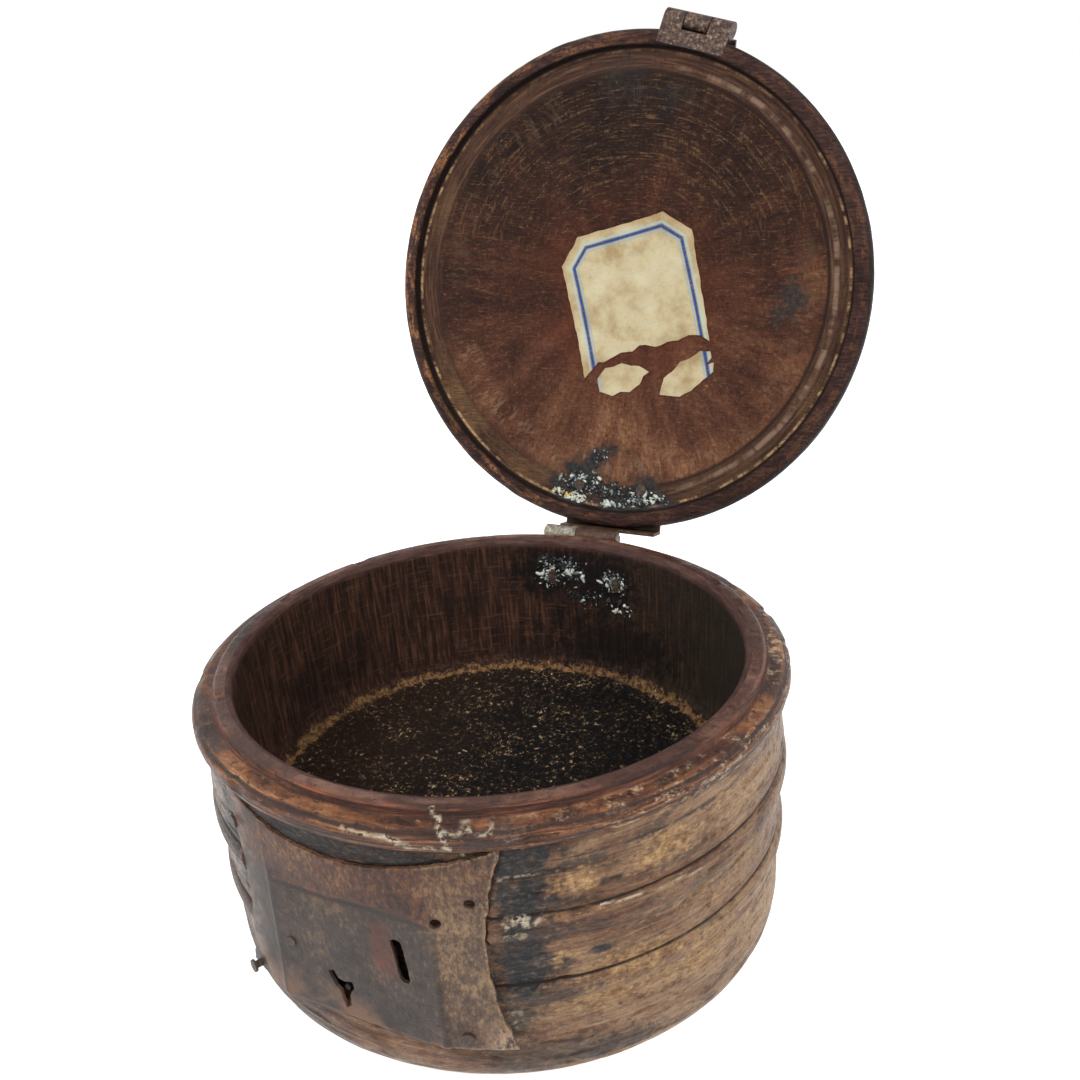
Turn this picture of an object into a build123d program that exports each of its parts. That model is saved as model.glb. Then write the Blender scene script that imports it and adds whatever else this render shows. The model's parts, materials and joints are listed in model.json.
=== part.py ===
from build123d import *
import os
from math import cos, radians, sin, sqrt

# Turned wooden betel box: a drum with a hinged lid, a let-in lock plate and a hasp.
# Millimetres and degrees. Origin at the centre of the flat underside, +Z up.
# The hinge is at +Y and the lock plate at -Y. The lid stands open.

# The drum, from the base upwards; its bands are set in from the rim
rim_radius = 62.5
base_round = 4.5
foot_inset = 3.9
foot_top = 20.3
low_roll_inset = 2.4
low_roll_height = 3.5
middle_inset = 2.9
middle_height = 9.4
middle_roll_inset = 1.4
middle_roll_height = 5.5
neck_inset = 2.2
neck_height = 14.5
rim_roll_height = 3.8
seat_step = 0.55
lip_inset = 4.6
lip_height = 2.0
lip_wall = 4.3
floor_height = 24.5
floor_round = 4.8
wall_taper = 1.4
edge_round = 0.9

# The lid, as it lies when closed
lid_edge_height = 4.5
lid_edge_inset = 2.2
lid_edge_round = 1.1
lid_shoulder_drop = 0.25
lid_seat_gap = 0.3
lip_play = 0.3
recess_depth = 2.55
band_width = 5.8
dish_step = 0.4
dish_depth = 8.0
dome_height = 18.1
dome_line_insets = (38.5, 24.5, 8.0)
dome_line_width = 1.0
dome_line_depth = 0.45
open_angle = 104.8

# The rear hinge: one knuckle on the drum's leaf, and one on the lid's beside it
hinge_knuckle_radius = 2.0
hinge_wall_gap = 0.3
hinge_drop = 1.65
hinge_left = -15.2
hinge_split = -6.8
hinge_right = 3.9
knuckle_gap = 0.3
hinge_pin_radius = 0.8
hinge_pin_head = 0.6
hinge_pin_head_radius = 1.1
pin_play = 0.05
leaf_half = 12.8
leaf_thickness = 0.8
leaf_seat_gap = 0.25
body_leaf_height = 15.0
lid_leaf_reach = 14.0
lid_leaf_shoulder = 0.7
lid_leaf_bend_inset = 1.9
lid_leaf_bend_rise = 0.3
hinge_nail_spacing = 16.8
body_nail_height = 50.8
lid_nail_inset = 10.2
nail_radius = 0.75
nail_head_radius = 1.7
nail_head_height = 0.7
nail_play = 0.04
clinch_length = 2.4
clinch_thickness = 0.45

# The lock plate and the works behind it
plate_thickness = 0.8
plate_bottom = 11.2
plate_top_gap = 5.2
plate_tip_rise = 5.0
plate_tip_half = 29.6
plate_waist_half = 26.0
plate_sink = 0.6
plate_edge_play = 0.3
panel_half = 17.7
panel_rise = 0.53
panel_top_gap = 15.0
slot_x = 10.2
slot_width = 2.2
slot_height = 9.0
slot_middle = 28.2
keyhole_x = -2.9
keyhole_height = 17.6
keyhole_radius = 1.5
key_slit_width = 1.5
key_slit_length = 4.5
plate_nail_length = 6.0
plate_nail_rise = 1.4
left_nail_azimuth = -25.6
upper_nail_azimuth = -27.0
upper_nail_drop = 3.4
right_nail_azimuth = 20.6
right_nail_rise = 2.6
proud_nail_lift = 1.5
empty_hole_radius = 0.95
near_hole_azimuth = 17.4
near_hole_drop = 9.6
corner_hole_azimuth = 23.5
corner_hole_drop = 5.5
works_left = -16.6
works_bottom = 13.4
works_top = 34.0
works_depth = 3.0
works_play = 0.2
case_thickness = 0.5
case_play = 0.1
bolt_thickness = 1.4
bolt_height = 2.6
bolt_play = 0.2
bolt_tail_gap = 0.4
bolt_nose_gap = 0.9
bolt_throw = 6.0
bolt_end_room = 1.8
talon_width = 7.2
talon_notch_width = 3.2
talon_drop = 6.5
talon_notch_height = 2.0
keeper_gap = 1.2
guide_width = 2.6
guide_wall = 0.5
guide_inset = 2.2
guide_drop = 0.4
guide_rivet_spacing = 6.7
rivet_radius = 0.6
rivet_head_radius = 1.0
rivet_head_lift = 0.15
spring_thickness = 0.35
spring_width = 1.2
spring_end_gap = 2.0
spring_play = 0.3
key_pin_radius = 0.6
ward_radius = 3.0
ward_wall = 0.4
ward_height = 0.6

# The hasp and its fixed leaf
hasp_azimuth = 16.8
hasp_wall_gap = 0.3
hasp_sheet = 0.7
hasp_knuckle_radius = 2.2
hasp_barrel_width = 17.4
hasp_knuckle_width = 6.2
hasp_pin_radius = 0.8
hasp_leaf_tongue = 3.9
hasp_leaf_play = 0.2
hasp_recess_play = 0.1
hasp_shoulder_drop = 3.1
hasp_body_half = 9.0
hasp_tail = 8.0
hasp_tip_radius = 6.0
hasp_curl_radius = 1.1
hasp_rest_angle = 236.0
hasp_rivet_spacing = 9.6
hasp_rivet_inset = 2.25
hasp_rivet_radius = 0.7
hasp_rivet_head_radius = 1.3
staple_thickness = 1.2
staple_height = 5.6
staple_wall = 1.1
staple_end = 0.77
eye_play = 0.2

# The paper label inside the lid
label_width = 36.5
label_height = 46.6
label_clip = 6.3
label_turn = 15.0
label_right = 3.4
label_drop = 7.6
label_thickness = 0.15
label_seat_gap = 0.05

# Heights and radii that follow from the values above
foot_radius = rim_radius - foot_inset
low_roll_radius = rim_radius - low_roll_inset
middle_radius = rim_radius - middle_inset
middle_roll_radius = rim_radius - middle_roll_inset
neck_radius = rim_radius - neck_inset
lip_radius = rim_radius - lip_inset
mouth_radius = lip_radius - lip_wall
low_roll_top = foot_top + low_roll_height
middle_top = low_roll_top + middle_height
middle_roll_top = middle_top + middle_roll_height
neck_top = middle_roll_top + neck_height
rim_top = neck_top + rim_roll_height
seat_height = rim_top + seat_step
lip_top = seat_height + lip_height
lid_face = seat_height + lid_seat_gap
lid_rim_radius = rim_radius - lid_edge_inset
recess_radius = lip_radius + lip_play
dish_radius = recess_radius - band_width
band_height = lid_face + recess_depth
lid_edge_top = lid_face + lid_edge_height
crown_top = lid_face + dome_height
hinge_y = rim_radius + hinge_wall_gap + hinge_knuckle_radius
hinge_z = lid_face - hinge_drop
plate_top = neck_top - plate_top_gap
plate_outer = neck_radius + plate_sink
plate_inner = plate_outer - plate_thickness
plate_seat_radius = plate_inner - leaf_seat_gap
panel_plane = sqrt(plate_outer**2 - panel_half**2) + panel_rise
panel_top = neck_top - panel_top_gap
panel_back = panel_plane - plate_thickness
flat_seat = panel_back - works_play
works_back = flat_seat - works_depth
case_front = works_back + case_play + case_thickness
bolt_front = panel_back - 1.5 * bolt_play
bolt_back = bolt_front - bolt_thickness
bolt_tail_x = works_left + bolt_tail_gap
bolt_nose_x = slot_x - slot_width / 2 - bolt_nose_gap
works_right = bolt_nose_x + bolt_throw + bolt_end_room
guide_rivet_x = works_left + guide_inset
guide_middle = slot_middle - guide_drop
hasp_inner = rim_radius + hasp_wall_gap
hasp_axis_radius = hasp_inner + hasp_knuckle_radius
hasp_axis_height = lid_face + hasp_knuckle_radius
hasp_rivet_radial = rim_radius - hasp_rivet_inset
plate_nails = (
    (left_nail_azimuth, plate_bottom + plate_nail_rise),
    (upper_nail_azimuth, plate_top - upper_nail_drop),
    (right_nail_azimuth, plate_bottom + right_nail_rise),
)
empty_nail_holes = (
    (near_hole_azimuth, plate_top - near_hole_drop),
    (corner_hole_azimuth, plate_top - corner_hole_drop),
)


def box_between(x_range, y_range, z_range):
    low = (x_range[0], y_range[0], z_range[0])
    size = (x_range[1] - x_range[0], y_range[1] - y_range[0], z_range[1] - z_range[0])
    return Pos(*low) * Box(*size, align=(Align.MIN, Align.MIN, Align.MIN))


def drum(radius, low, high):
    blank = Cylinder(radius, high - low, align=(Align.CENTER, Align.CENTER, Align.MIN))
    return Pos(0, 0, low) * blank


def shell(inner, outer, low, high):
    return drum(outer, low, high) - drum(inner, low - 1, high + 1)


def turned(outline):
    return revolve(make_face(Plane.XZ * outline), Axis.Z)


def front_slab(outline, thickness):
    """A front view outline, given thickness towards -Y."""
    return extrude(make_face(Plane.XZ * outline), amount=thickness, dir=(0, -1, 0))


def rod_x(radius, left, right, y, z):
    return Pos((left + right) / 2, y, z) * Rot(0, 90, 0) * Cylinder(radius, right - left)


def rod_y(radius, low, high, x, z):
    return Pos(x, (low + high) / 2, z) * Rot(90, 0, 0) * Cylinder(radius, high - low)


def bent_sheet(points, thickness, left, right):
    """A sheet bent along points in the YZ plane, from left to right along X."""
    sheet = None
    for start, end in zip(points, points[1:]):
        run = Vector(end[0] - start[0], end[1] - start[1], 0)
        angle = run.get_angle(Vector(1, 0, 0)) * (1 if run.Y >= 0 else -1)
        middle = ((start[0] + end[0]) / 2, (start[1] + end[1]) / 2)
        flat = Pos(0, *middle) * Rot(angle, 0, 0) * Box(right - left, run.length, thickness)
        sheet = flat if sheet is None else sheet + flat
    for y, z in points[1:-1]:
        sheet += rod_x(thickness / 2, -(right - left) / 2, (right - left) / 2, y, z)
    return Pos((left + right) / 2, 0, 0) * sheet


def knuckle(left, right, radius, bore, y, z):
    return rod_x(radius, left, right, y, z) - rod_x(bore, left - 1, right + 1, y, z)


def opened(part):
    """Swing a closed lid's piece back about the rear hinge."""
    there = Pos(0, hinge_y, hinge_z) * Rot(-open_angle, 0, 0)
    return there * Pos(0, -hinge_y, -hinge_z) * part


def at_hasp(part):
    return opened(Rot(0, 0, hasp_azimuth) * part)


def swung_hasp(part):
    """Swing the locked hasp up and over, on to the back of the lid."""
    there = Pos(0, -hasp_axis_radius, hasp_axis_height) * Rot(-hasp_rest_angle, 0, 0)
    return at_hasp(there * Pos(0, hasp_axis_radius, -hasp_axis_height) * part)


def plate_outline(grow=0.0):
    """The lock plate's front view: waisted sides and drawn-out corners."""
    top = plate_top + grow
    bottom = plate_bottom - grow
    tip = plate_tip_half + grow
    waist = plate_waist_half + grow
    middle = (top + bottom) / 2
    corners = ((-tip, bottom), (tip, bottom), (tip, top + plate_tip_rise), (-tip, top + plate_tip_rise))
    outline = Line(corners[0], corners[1])
    outline += ThreePointArc(corners[1], (waist, middle), corners[2])
    outline += ThreePointArc(corners[2], (0, top), corners[3])
    outline += ThreePointArc(corners[3], (-waist, middle), corners[0])
    return front_slab(outline, rim_radius + 10)


def wall_nail(azimuth, height, radius, inner, outer):
    """A rod through the front wall at an azimuth, from an inner to an outer radius."""
    return Rot(0, 0, azimuth) * rod_y(radius, -outer, -inner, 0, height)


def drum_outline():
    outline = Polyline((0, 0), (foot_radius - base_round, 0))
    start = (foot_radius - base_round, 0)
    end = (foot_radius, base_round)
    turn = base_round * (1 - sqrt(0.5))
    outline += ThreePointArc(start, (foot_radius - turn, turn), end)
    outline += Line(end, (foot_radius, foot_top))
    rolls = (
        (foot_radius, foot_top, low_roll_radius, middle_radius, low_roll_top, middle_top),
        (middle_radius, middle_top, middle_roll_radius, neck_radius, middle_roll_top, neck_top),
    )
    for low_r, low_z, roll_r, high_r, high_z, wall_top in rolls:
        outline += ThreePointArc((low_r, low_z), (roll_r, (low_z + high_z) / 2), (high_r, high_z))
        outline += Line((high_r, high_z), (high_r, wall_top))
    shoulder = (rim_radius - 2 * seat_step, rim_top)
    outline += ThreePointArc((neck_radius, neck_top), (rim_radius, (neck_top + rim_top) / 2), shoulder)
    outline += Polyline(
        shoulder,
        (shoulder[0] - seat_step, seat_height),
        (lip_radius, seat_height),
        (lip_radius, lip_top - edge_round),
    )
    bend = edge_round * (1 - sqrt(0.5))
    outline += ThreePointArc(
        (lip_radius, lip_top - edge_round),
        (lip_radius - bend, lip_top - bend),
        (lip_radius - edge_round, lip_top),
    )
    outline += Line((lip_radius - edge_round, lip_top), (mouth_radius + edge_round, lip_top))
    outline += ThreePointArc(
        (mouth_radius + edge_round, lip_top),
        (mouth_radius + bend, lip_top - bend),
        (mouth_radius, lip_top - edge_round),
    )
    foot_of_wall = mouth_radius - wall_taper
    outline += Line((mouth_radius, lip_top - edge_round), (foot_of_wall, floor_height + floor_round))
    corner = floor_round * (1 - sqrt(0.5))
    outline += ThreePointArc(
        (foot_of_wall, floor_height + floor_round),
        (foot_of_wall - corner, floor_height + corner),
        (foot_of_wall - floor_round, floor_height),
    )
    outline += Polyline((foot_of_wall - floor_round, floor_height), (0, floor_height), (0, 0))
    return outline


def body():
    wood = turned(drum_outline())
    wood -= plate_outline(plate_edge_play) - drum(plate_seat_radius, 0, lip_top)
    flat_top = panel_top + plate_thickness + plate_edge_play
    flat_bottom = plate_bottom - plate_edge_play
    flat_half = panel_half + plate_edge_play
    wood -= box_between((-flat_half, flat_half), (-rim_radius - 1, -flat_seat), (flat_bottom, flat_top))
    works = ((works_left, works_right), (-rim_radius, -works_back), (works_bottom, works_top))
    wood -= box_between(*works)
    nail_foot = plate_outer - plate_nail_length
    for azimuth, height in plate_nails:
        wood -= wall_nail(azimuth, height, nail_radius + nail_play, nail_foot, rim_radius)
    for azimuth, height in empty_nail_holes:
        wood -= wall_nail(azimuth, height, empty_hole_radius, nail_foot, rim_radius)
    notch_left = hinge_left - 2 * knuckle_gap - hinge_pin_head
    notch = box_between((notch_left, -notch_left), (0, rim_radius + 1), (neck_top - 1, seat_height + 1))
    wood -= notch - drum(neck_radius + leaf_seat_gap / 2, 0, lip_top)
    for side in (-1, 1):
        wood -= body_nail_rod(side, nail_radius + nail_play, mouth_radius - 3, rim_radius)
    return wood


def inside_radius_at(height):
    foot = floor_height + floor_round
    return mouth_radius - wall_taper * (lip_top - edge_round - height) / (lip_top - edge_round - foot)


def body_nail_rod(side, radius, inner, outer):
    return rod_y(radius, inner, outer, side * hinge_nail_spacing / 2, body_nail_height)


def lock_plate():
    shape = plate_outline()
    plate = shell(plate_inner, plate_outer, plate_bottom - 1, plate_top + plate_tip_rise + 1) & shape
    inner_half = panel_half - plate_thickness / 2
    panel_zone = ((-inner_half, inner_half), (-rim_radius, -rim_radius / 2))
    plate -= box_between(*panel_zone, (plate_bottom - 2, panel_top + plate_thickness / 2))
    panel = ((-panel_half, panel_half), (-panel_plane, -panel_back))
    plate += box_between(*panel, (plate_bottom, panel_top + plate_thickness))
    ledge = ((-panel_half, panel_half), (-rim_radius, -panel_back), (panel_top, panel_top + plate_thickness))
    plate += box_between(*ledge) & drum(plate_outer, 0, lip_top)
    slot_low = slot_middle - slot_height / 2
    slot = ((slot_x - slot_width / 2, slot_x + slot_width / 2), (-rim_radius, -panel_back + 1))
    plate -= box_between(*slot, (slot_low, slot_low + slot_height))
    plate -= rod_y(keyhole_radius, -rim_radius, -panel_back + 1, keyhole_x, keyhole_height)
    slit = ((keyhole_x - key_slit_width / 2, keyhole_x + key_slit_width / 2), (-rim_radius, -panel_back + 1))
    plate -= box_between(*slit, (keyhole_height - key_slit_length, keyhole_height))
    for azimuth, height in plate_nails:
        plate -= wall_nail(azimuth, height, nail_radius + nail_play, plate_inner - 3, rim_radius)
    for azimuth, height in empty_nail_holes:
        plate -= wall_nail(azimuth, height, empty_hole_radius, plate_inner - 3, rim_radius)
    for side in (-1, 1):
        plate -= guide_rivet(side, rivet_radius + nail_play, panel_back - 1, rim_radius)
    return plate


def lock_plate_nails():
    nails = []
    for index, (azimuth, height) in enumerate(plate_nails):
        lift = proud_nail_lift if index == 0 else nail_play
        head = plate_outer + lift
        rod = wall_nail(azimuth, height, nail_radius, plate_outer - plate_nail_length + 1, head)
        cap = wall_nail(azimuth, height, nail_head_radius * 0.75, head, head + nail_head_height * 0.7)
        nails.append(rod + cap)
    return Compound(children=nails)


def lock_back_plate():
    right = bolt_nose_x - bolt_nose_gap
    low = works_bottom + case_play
    high = works_top - case_play
    sheet = box_between((works_left + case_play, right), (-case_front, -works_back - case_play), (low, high))
    return sheet


def guide_rivet(side, radius, inner, outer):
    return rod_y(radius, -outer, -inner, guide_rivet_x, guide_middle + side * guide_rivet_spacing / 2)


def lock_rivets():
    rivets = []
    foot = panel_back - guide_wall
    for side in (-1, 1):
        shank = guide_rivet(side, rivet_radius, foot, panel_plane)
        head = guide_rivet(side, rivet_head_radius, panel_plane, panel_plane + rivet_head_lift)
        rivets.append(shank + head)
    return Compound(children=rivets)


def bolt_guide_left():
    middle = guide_middle
    left = guide_rivet_x - guide_width / 2
    right = guide_rivet_x + guide_width / 2
    half = guide_rivet_spacing / 2 + rivet_head_radius
    back = bolt_back - bolt_play - guide_wall
    bridge = box_between((left, right), (-panel_back, -back), (middle - half, middle + half))
    way_half = bolt_height / 2 + bolt_play
    way = ((left - 1, right + 1), (-panel_back - 1, -back - guide_wall))
    bridge -= box_between(*way, (slot_middle - way_half, slot_middle + way_half))
    for side in (-1, 1):
        bridge -= guide_rivet(side, rivet_radius + nail_play, back - 1, panel_back + 1)
        low, high = sorted((middle + side * (way_half + guide_wall), middle + side * (half + 1)))
        bridge -= box_between((left - 1, right + 1), (-panel_back + guide_wall, -back + 1), (low, high))
    return bridge


def bolt_keeper_right():
    left = slot_x + slot_width / 2 + keeper_gap
    back = bolt_back - bolt_play - guide_wall
    way_half = bolt_height / 2 + bolt_play
    half = way_half + 2 * guide_wall
    right = left + guide_width
    keeper = box_between((left, right), (-panel_back, -back), (slot_middle - half, slot_middle + half))
    way = ((left - 1, right + 1), (-panel_back - 1, -back - guide_wall))
    keeper -= box_between(*way, (slot_middle - way_half, slot_middle + way_half))
    return keeper


def lock_bolt():
    low = slot_middle - bolt_height / 2
    depth = (-bolt_front, -bolt_back)
    bolt = box_between((bolt_tail_x, bolt_nose_x), depth, (low, low + bolt_height))
    talon_left = keyhole_x - talon_width / 2
    bolt += box_between((talon_left, talon_left + talon_width), depth, (low - talon_drop, low))
    notch_left = keyhole_x - talon_notch_width / 2
    notch = ((notch_left, notch_left + talon_notch_width), (-rim_radius, -bolt_back + 1))
    bolt -= box_between(*notch, (low - talon_drop - 1, low - talon_drop + talon_notch_height))
    return bolt


def bolt_spring():
    """A flat spring in the top of the works, bowed down towards the bolt."""
    left = guide_rivet_x + guide_width
    right = bolt_nose_x - spring_end_gap
    high = works_top - spring_thickness
    sag = slot_middle + bolt_height / 2 + spring_play + spring_thickness
    middle = (left + right) / 2
    outline = ThreePointArc((left, high), (middle, sag), (right, high))
    outline += Line((right, high), (right, high - spring_thickness))
    outline += ThreePointArc((right, high - spring_thickness), (middle, sag - spring_thickness),
                             (left, high - spring_thickness))
    outline += Line((left, high - spring_thickness), (left, high))
    strip = front_slab(outline, spring_width)
    return Pos(0, -bolt_back, 0) * strip


def key_pin():
    return rod_y(key_pin_radius, -panel_back - plate_thickness / 2, -case_front, keyhole_x, keyhole_height)


def lock_ward():
    ring = rod_y(ward_radius + ward_wall, -case_front - ward_height, -case_front, keyhole_x, keyhole_height)
    ring -= rod_y(ward_radius, -case_front - ward_height - 1, -case_front + 1, keyhole_x, keyhole_height)
    gap = ((keyhole_x - 2 * ward_radius, keyhole_x + 2 * ward_radius), (-rim_radius, 0))
    return ring - box_between(*gap, (keyhole_height - 2 * ward_radius, keyhole_height - ward_radius / 2))


def outer_knuckles(width, middle_width, radius, bore, y, z):
    inner = middle_width / 2 + knuckle_gap
    left = knuckle(-width / 2, -inner, radius, bore, y, z)
    return left + knuckle(inner, width / 2, radius, bore, y, z)


def rear_hinge_body_leaf():
    half = -hinge_left
    inner = neck_radius + leaf_seat_gap
    top = hinge_z - hinge_knuckle_radius
    leaf = shell(inner, inner + leaf_thickness, top - body_leaf_height, top)
    leaf &= box_between((-half, half), (0, 2 * rim_radius), (0, lip_top))
    arm = box_between((hinge_left, hinge_split), (inner - 1, hinge_y), (top, top + leaf_thickness))
    lip = shell(inner, inner + leaf_thickness, top - 1, top + leaf_thickness)
    lip &= box_between((hinge_left, hinge_split), (0, 2 * rim_radius), (0, lip_top))
    leaf += lip + (arm - drum(inner, 0, lip_top))
    bore = hinge_pin_radius + pin_play
    leaf += knuckle(hinge_left, hinge_split, hinge_knuckle_radius, bore, hinge_y, hinge_z)
    leaf -= rod_x(bore, hinge_left - 1, hinge_split + 1, hinge_y, hinge_z)
    for side in (-1, 1):
        leaf -= body_nail_rod(side, nail_radius + nail_play, mouth_radius, 2 * rim_radius)
    return leaf


def body_hinge_nails():
    """Nails through the hinge leaf and the wall, their ends bent over inside."""
    nails = []
    face = neck_radius + leaf_seat_gap + leaf_thickness
    x = hinge_nail_spacing / 2
    outside = sqrt(face**2 - (x - nail_head_radius) ** 2) + nail_play
    low = body_nail_height - clinch_length
    inside = sqrt(inside_radius_at(low) ** 2 - (x + nail_radius) ** 2)
    for side in (-1, 1):
        nail = body_nail_rod(side, nail_radius, inside - nail_play - clinch_thickness, outside)
        nail += body_nail_rod(side, nail_head_radius, outside, outside + nail_head_height)
        bent = (side * x - nail_radius, side * x + nail_radius)
        depth = (inside - nail_play - 2 * clinch_thickness, inside - nail_play - clinch_thickness)
        nail += box_between(bent, depth, (low, body_nail_height + nail_radius))
        nails.append(nail)
    return Compound(children=nails)


def rear_hinge_pin():
    pin = rod_x(hinge_pin_radius, hinge_left - 2 * pin_play, hinge_right + 2 * pin_play, hinge_y, hinge_z)
    head = hinge_pin_head_radius
    pin += rod_x(head, hinge_left - hinge_pin_head, hinge_left - pin_play, hinge_y, hinge_z)
    pin += rod_x(head, hinge_right + pin_play, hinge_right + hinge_pin_head, hinge_y, hinge_z)
    return pin


def dome_radius():
    rise = crown_top - lid_edge_top
    reach = lid_rim_radius
    return (reach**2 + rise**2) / (2 * rise)


def dome_height_at(radius):
    return crown_top - dome_radius() + sqrt(dome_radius() ** 2 - radius**2)


def lid_nail_y():
    return rim_radius - lid_nail_inset


def dome_ball(lift=0.0):
    """The ball whose cap is the outside of the lid."""
    return Pos(0, 0, crown_top - dome_radius()) * Sphere(dome_radius() + lift)


def dish_ball(sink=0.0):
    """The ball whose cap is the hollow inside the lid."""
    rise = dish_depth - dish_step
    radius = (dish_radius**2 + rise**2) / (2 * rise)
    return Pos(0, 0, band_height + dish_depth - radius) * Sphere(radius - sink)


def lid_blank():
    edge = lid_rim_radius
    near = rim_radius - lid_edge_round
    shoulder = (near, lid_edge_top - lid_shoulder_drop)
    outline = Line((recess_radius, lid_face), (near, lid_face))
    outline += ThreePointArc((near, lid_face), (rim_radius, (lid_face + shoulder[1]) / 2), shoulder)
    outline += Polyline(
        shoulder,
        (edge, lid_edge_top),
        (0, lid_edge_top),
        (0, band_height),
        (recess_radius, band_height),
        (recess_radius, lid_face),
    )
    blank = turned(outline) + (drum(edge, lid_edge_top, crown_top + 1) & dome_ball())
    return blank - (drum(dish_radius, band_height - 1, crown_top) & dish_ball())


def lid():
    wood = lid_blank()
    for inset in dome_line_insets:
        radius = rim_radius - inset
        surface = dome_height_at(radius)
        half = dome_line_width / 2
        cut = Polyline(
            (radius - half, surface + half),
            (radius, surface - dome_line_depth),
            (radius + half, surface + half),
            close=True,
        )
        wood -= turned(cut)
    half = hasp_barrel_width / 2 + hasp_leaf_play
    tongue = rim_radius - hasp_leaf_tongue - hasp_leaf_play
    recess_top = lid_face + hasp_sheet + hasp_recess_play
    recess = box_between((-half, half), (-rim_radius - 1, -tongue), (lid_face - 1, recess_top))
    for side in (-1, 1):
        recess += hasp_rivet_rod(side, hasp_rivet_radius + nail_play, lid_face, lid_edge_top + 2)
        wood -= lid_nail_rod(side, nail_radius + nail_play, lid_face, crown_top)
    wood -= Rot(0, 0, hasp_azimuth) * recess
    return opened(wood)


def lid_nail_rod(side, radius, low, high):
    return Pos(side * hinge_nail_spacing / 2, lid_nail_y(), 0) * drum(radius, low, high)


def lid_leaf_path():
    y = hinge_y - hinge_knuckle_radius + leaf_thickness / 2
    lift = leaf_thickness / 2 + leaf_seat_gap
    far = rim_radius - lid_leaf_reach
    return (
        (y, hinge_z),
        (y, lid_face + lid_leaf_shoulder),
        (y, lid_edge_top + lift),
        (rim_radius - lid_leaf_bend_inset, lid_edge_top + lift + lid_leaf_bend_rise),
        (far, dome_height_at(far) + lift),
    )


def rear_hinge_lid_leaf():
    """A strap over the lid's edge, narrowed where it curls round the pin."""
    path = lid_leaf_path()
    left = hinge_split + knuckle_gap
    leaf = bent_sheet(path[1:], leaf_thickness, -leaf_half, leaf_half)
    leaf += bent_sheet(path[:2], leaf_thickness, left, hinge_right)
    leaf += rod_x(hinge_knuckle_radius, left, hinge_right, hinge_y, hinge_z)
    leaf -= rod_x(hinge_pin_radius + pin_play, left - 1, hinge_right + 1, hinge_y, hinge_z)
    for side in (-1, 1):
        leaf -= lid_nail_rod(side, nail_radius + nail_play, lid_face, crown_top)
    return opened(leaf)


def leaf_top_at(y):
    (y1, z1), (y2, z2) = lid_leaf_path()[-2:]
    return z1 + (z2 - z1) * (y1 - y) / (y1 - y2) + leaf_thickness * 0.55


def lid_hinge_nails():
    """Nails through the hinge leaf and the lid, clinched flat on the inner band."""
    nails = []
    head_low = leaf_top_at(lid_nail_y() - nail_head_radius)
    for side in (-1, 1):
        clinch_top = band_height - nail_play
        nail = lid_nail_rod(side, nail_radius, clinch_top - clinch_thickness / 2, head_low)
        nail += lid_nail_rod(side, nail_head_radius, head_low, head_low + nail_head_height)
        nail += lid_nail_rod(side, nail_head_radius * 0.8, clinch_top - clinch_thickness, clinch_top)
        nails.append(opened(nail))
    return Compound(children=nails)


def hasp_rivet_rod(side, radius, low, high):
    x = side * hasp_rivet_spacing / 2
    return Pos(x, -hasp_rivet_radial, 0) * drum(radius, low, high)


def hasp_leaf():
    half = hasp_barrel_width / 2
    start = rim_radius - hasp_leaf_tongue
    tongue = box_between((-half, half), (-hasp_axis_radius, -start), (lid_face, lid_face + hasp_sheet))
    neck_half = hasp_knuckle_width / 2 + knuckle_gap
    tongue -= box_between((-neck_half, neck_half), (-hasp_axis_radius - 1, -rim_radius), (0, crown_top))
    bore = hasp_pin_radius + pin_play
    place = (-hasp_axis_radius, hasp_axis_height)
    tongue += outer_knuckles(hasp_barrel_width, hasp_knuckle_width, hasp_knuckle_radius, bore, *place)
    tongue -= rod_x(bore, -half - 1, half + 1, *place)
    for side in (-1, 1):
        tongue -= hasp_rivet_rod(side, hasp_rivet_radius + nail_play, lid_face - 1, lid_face + 2)
    return at_hasp(tongue)


def hasp_leaf_rivets():
    rivets = []
    top = dome_height_at(hasp_rivet_radial - hasp_rivet_head_radius) + nail_play
    for side in (-1, 1):
        rivet = hasp_rivet_rod(side, hasp_rivet_radius, lid_face, top)
        rivet += hasp_rivet_rod(side, hasp_rivet_head_radius, top, top + nail_head_height)
        rivets.append(at_hasp(rivet))
    return Compound(children=rivets)


def hasp_pin():
    half = hasp_barrel_width / 2
    return at_hasp(rod_x(hasp_pin_radius, -half, half, -hasp_axis_radius, hasp_axis_height))


def staple_place():
    """Where the slot lies, measured along the barrel from its middle."""
    turn = radians(hasp_azimuth)
    return slot_x * cos(turn) - panel_plane * sin(turn)


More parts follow.
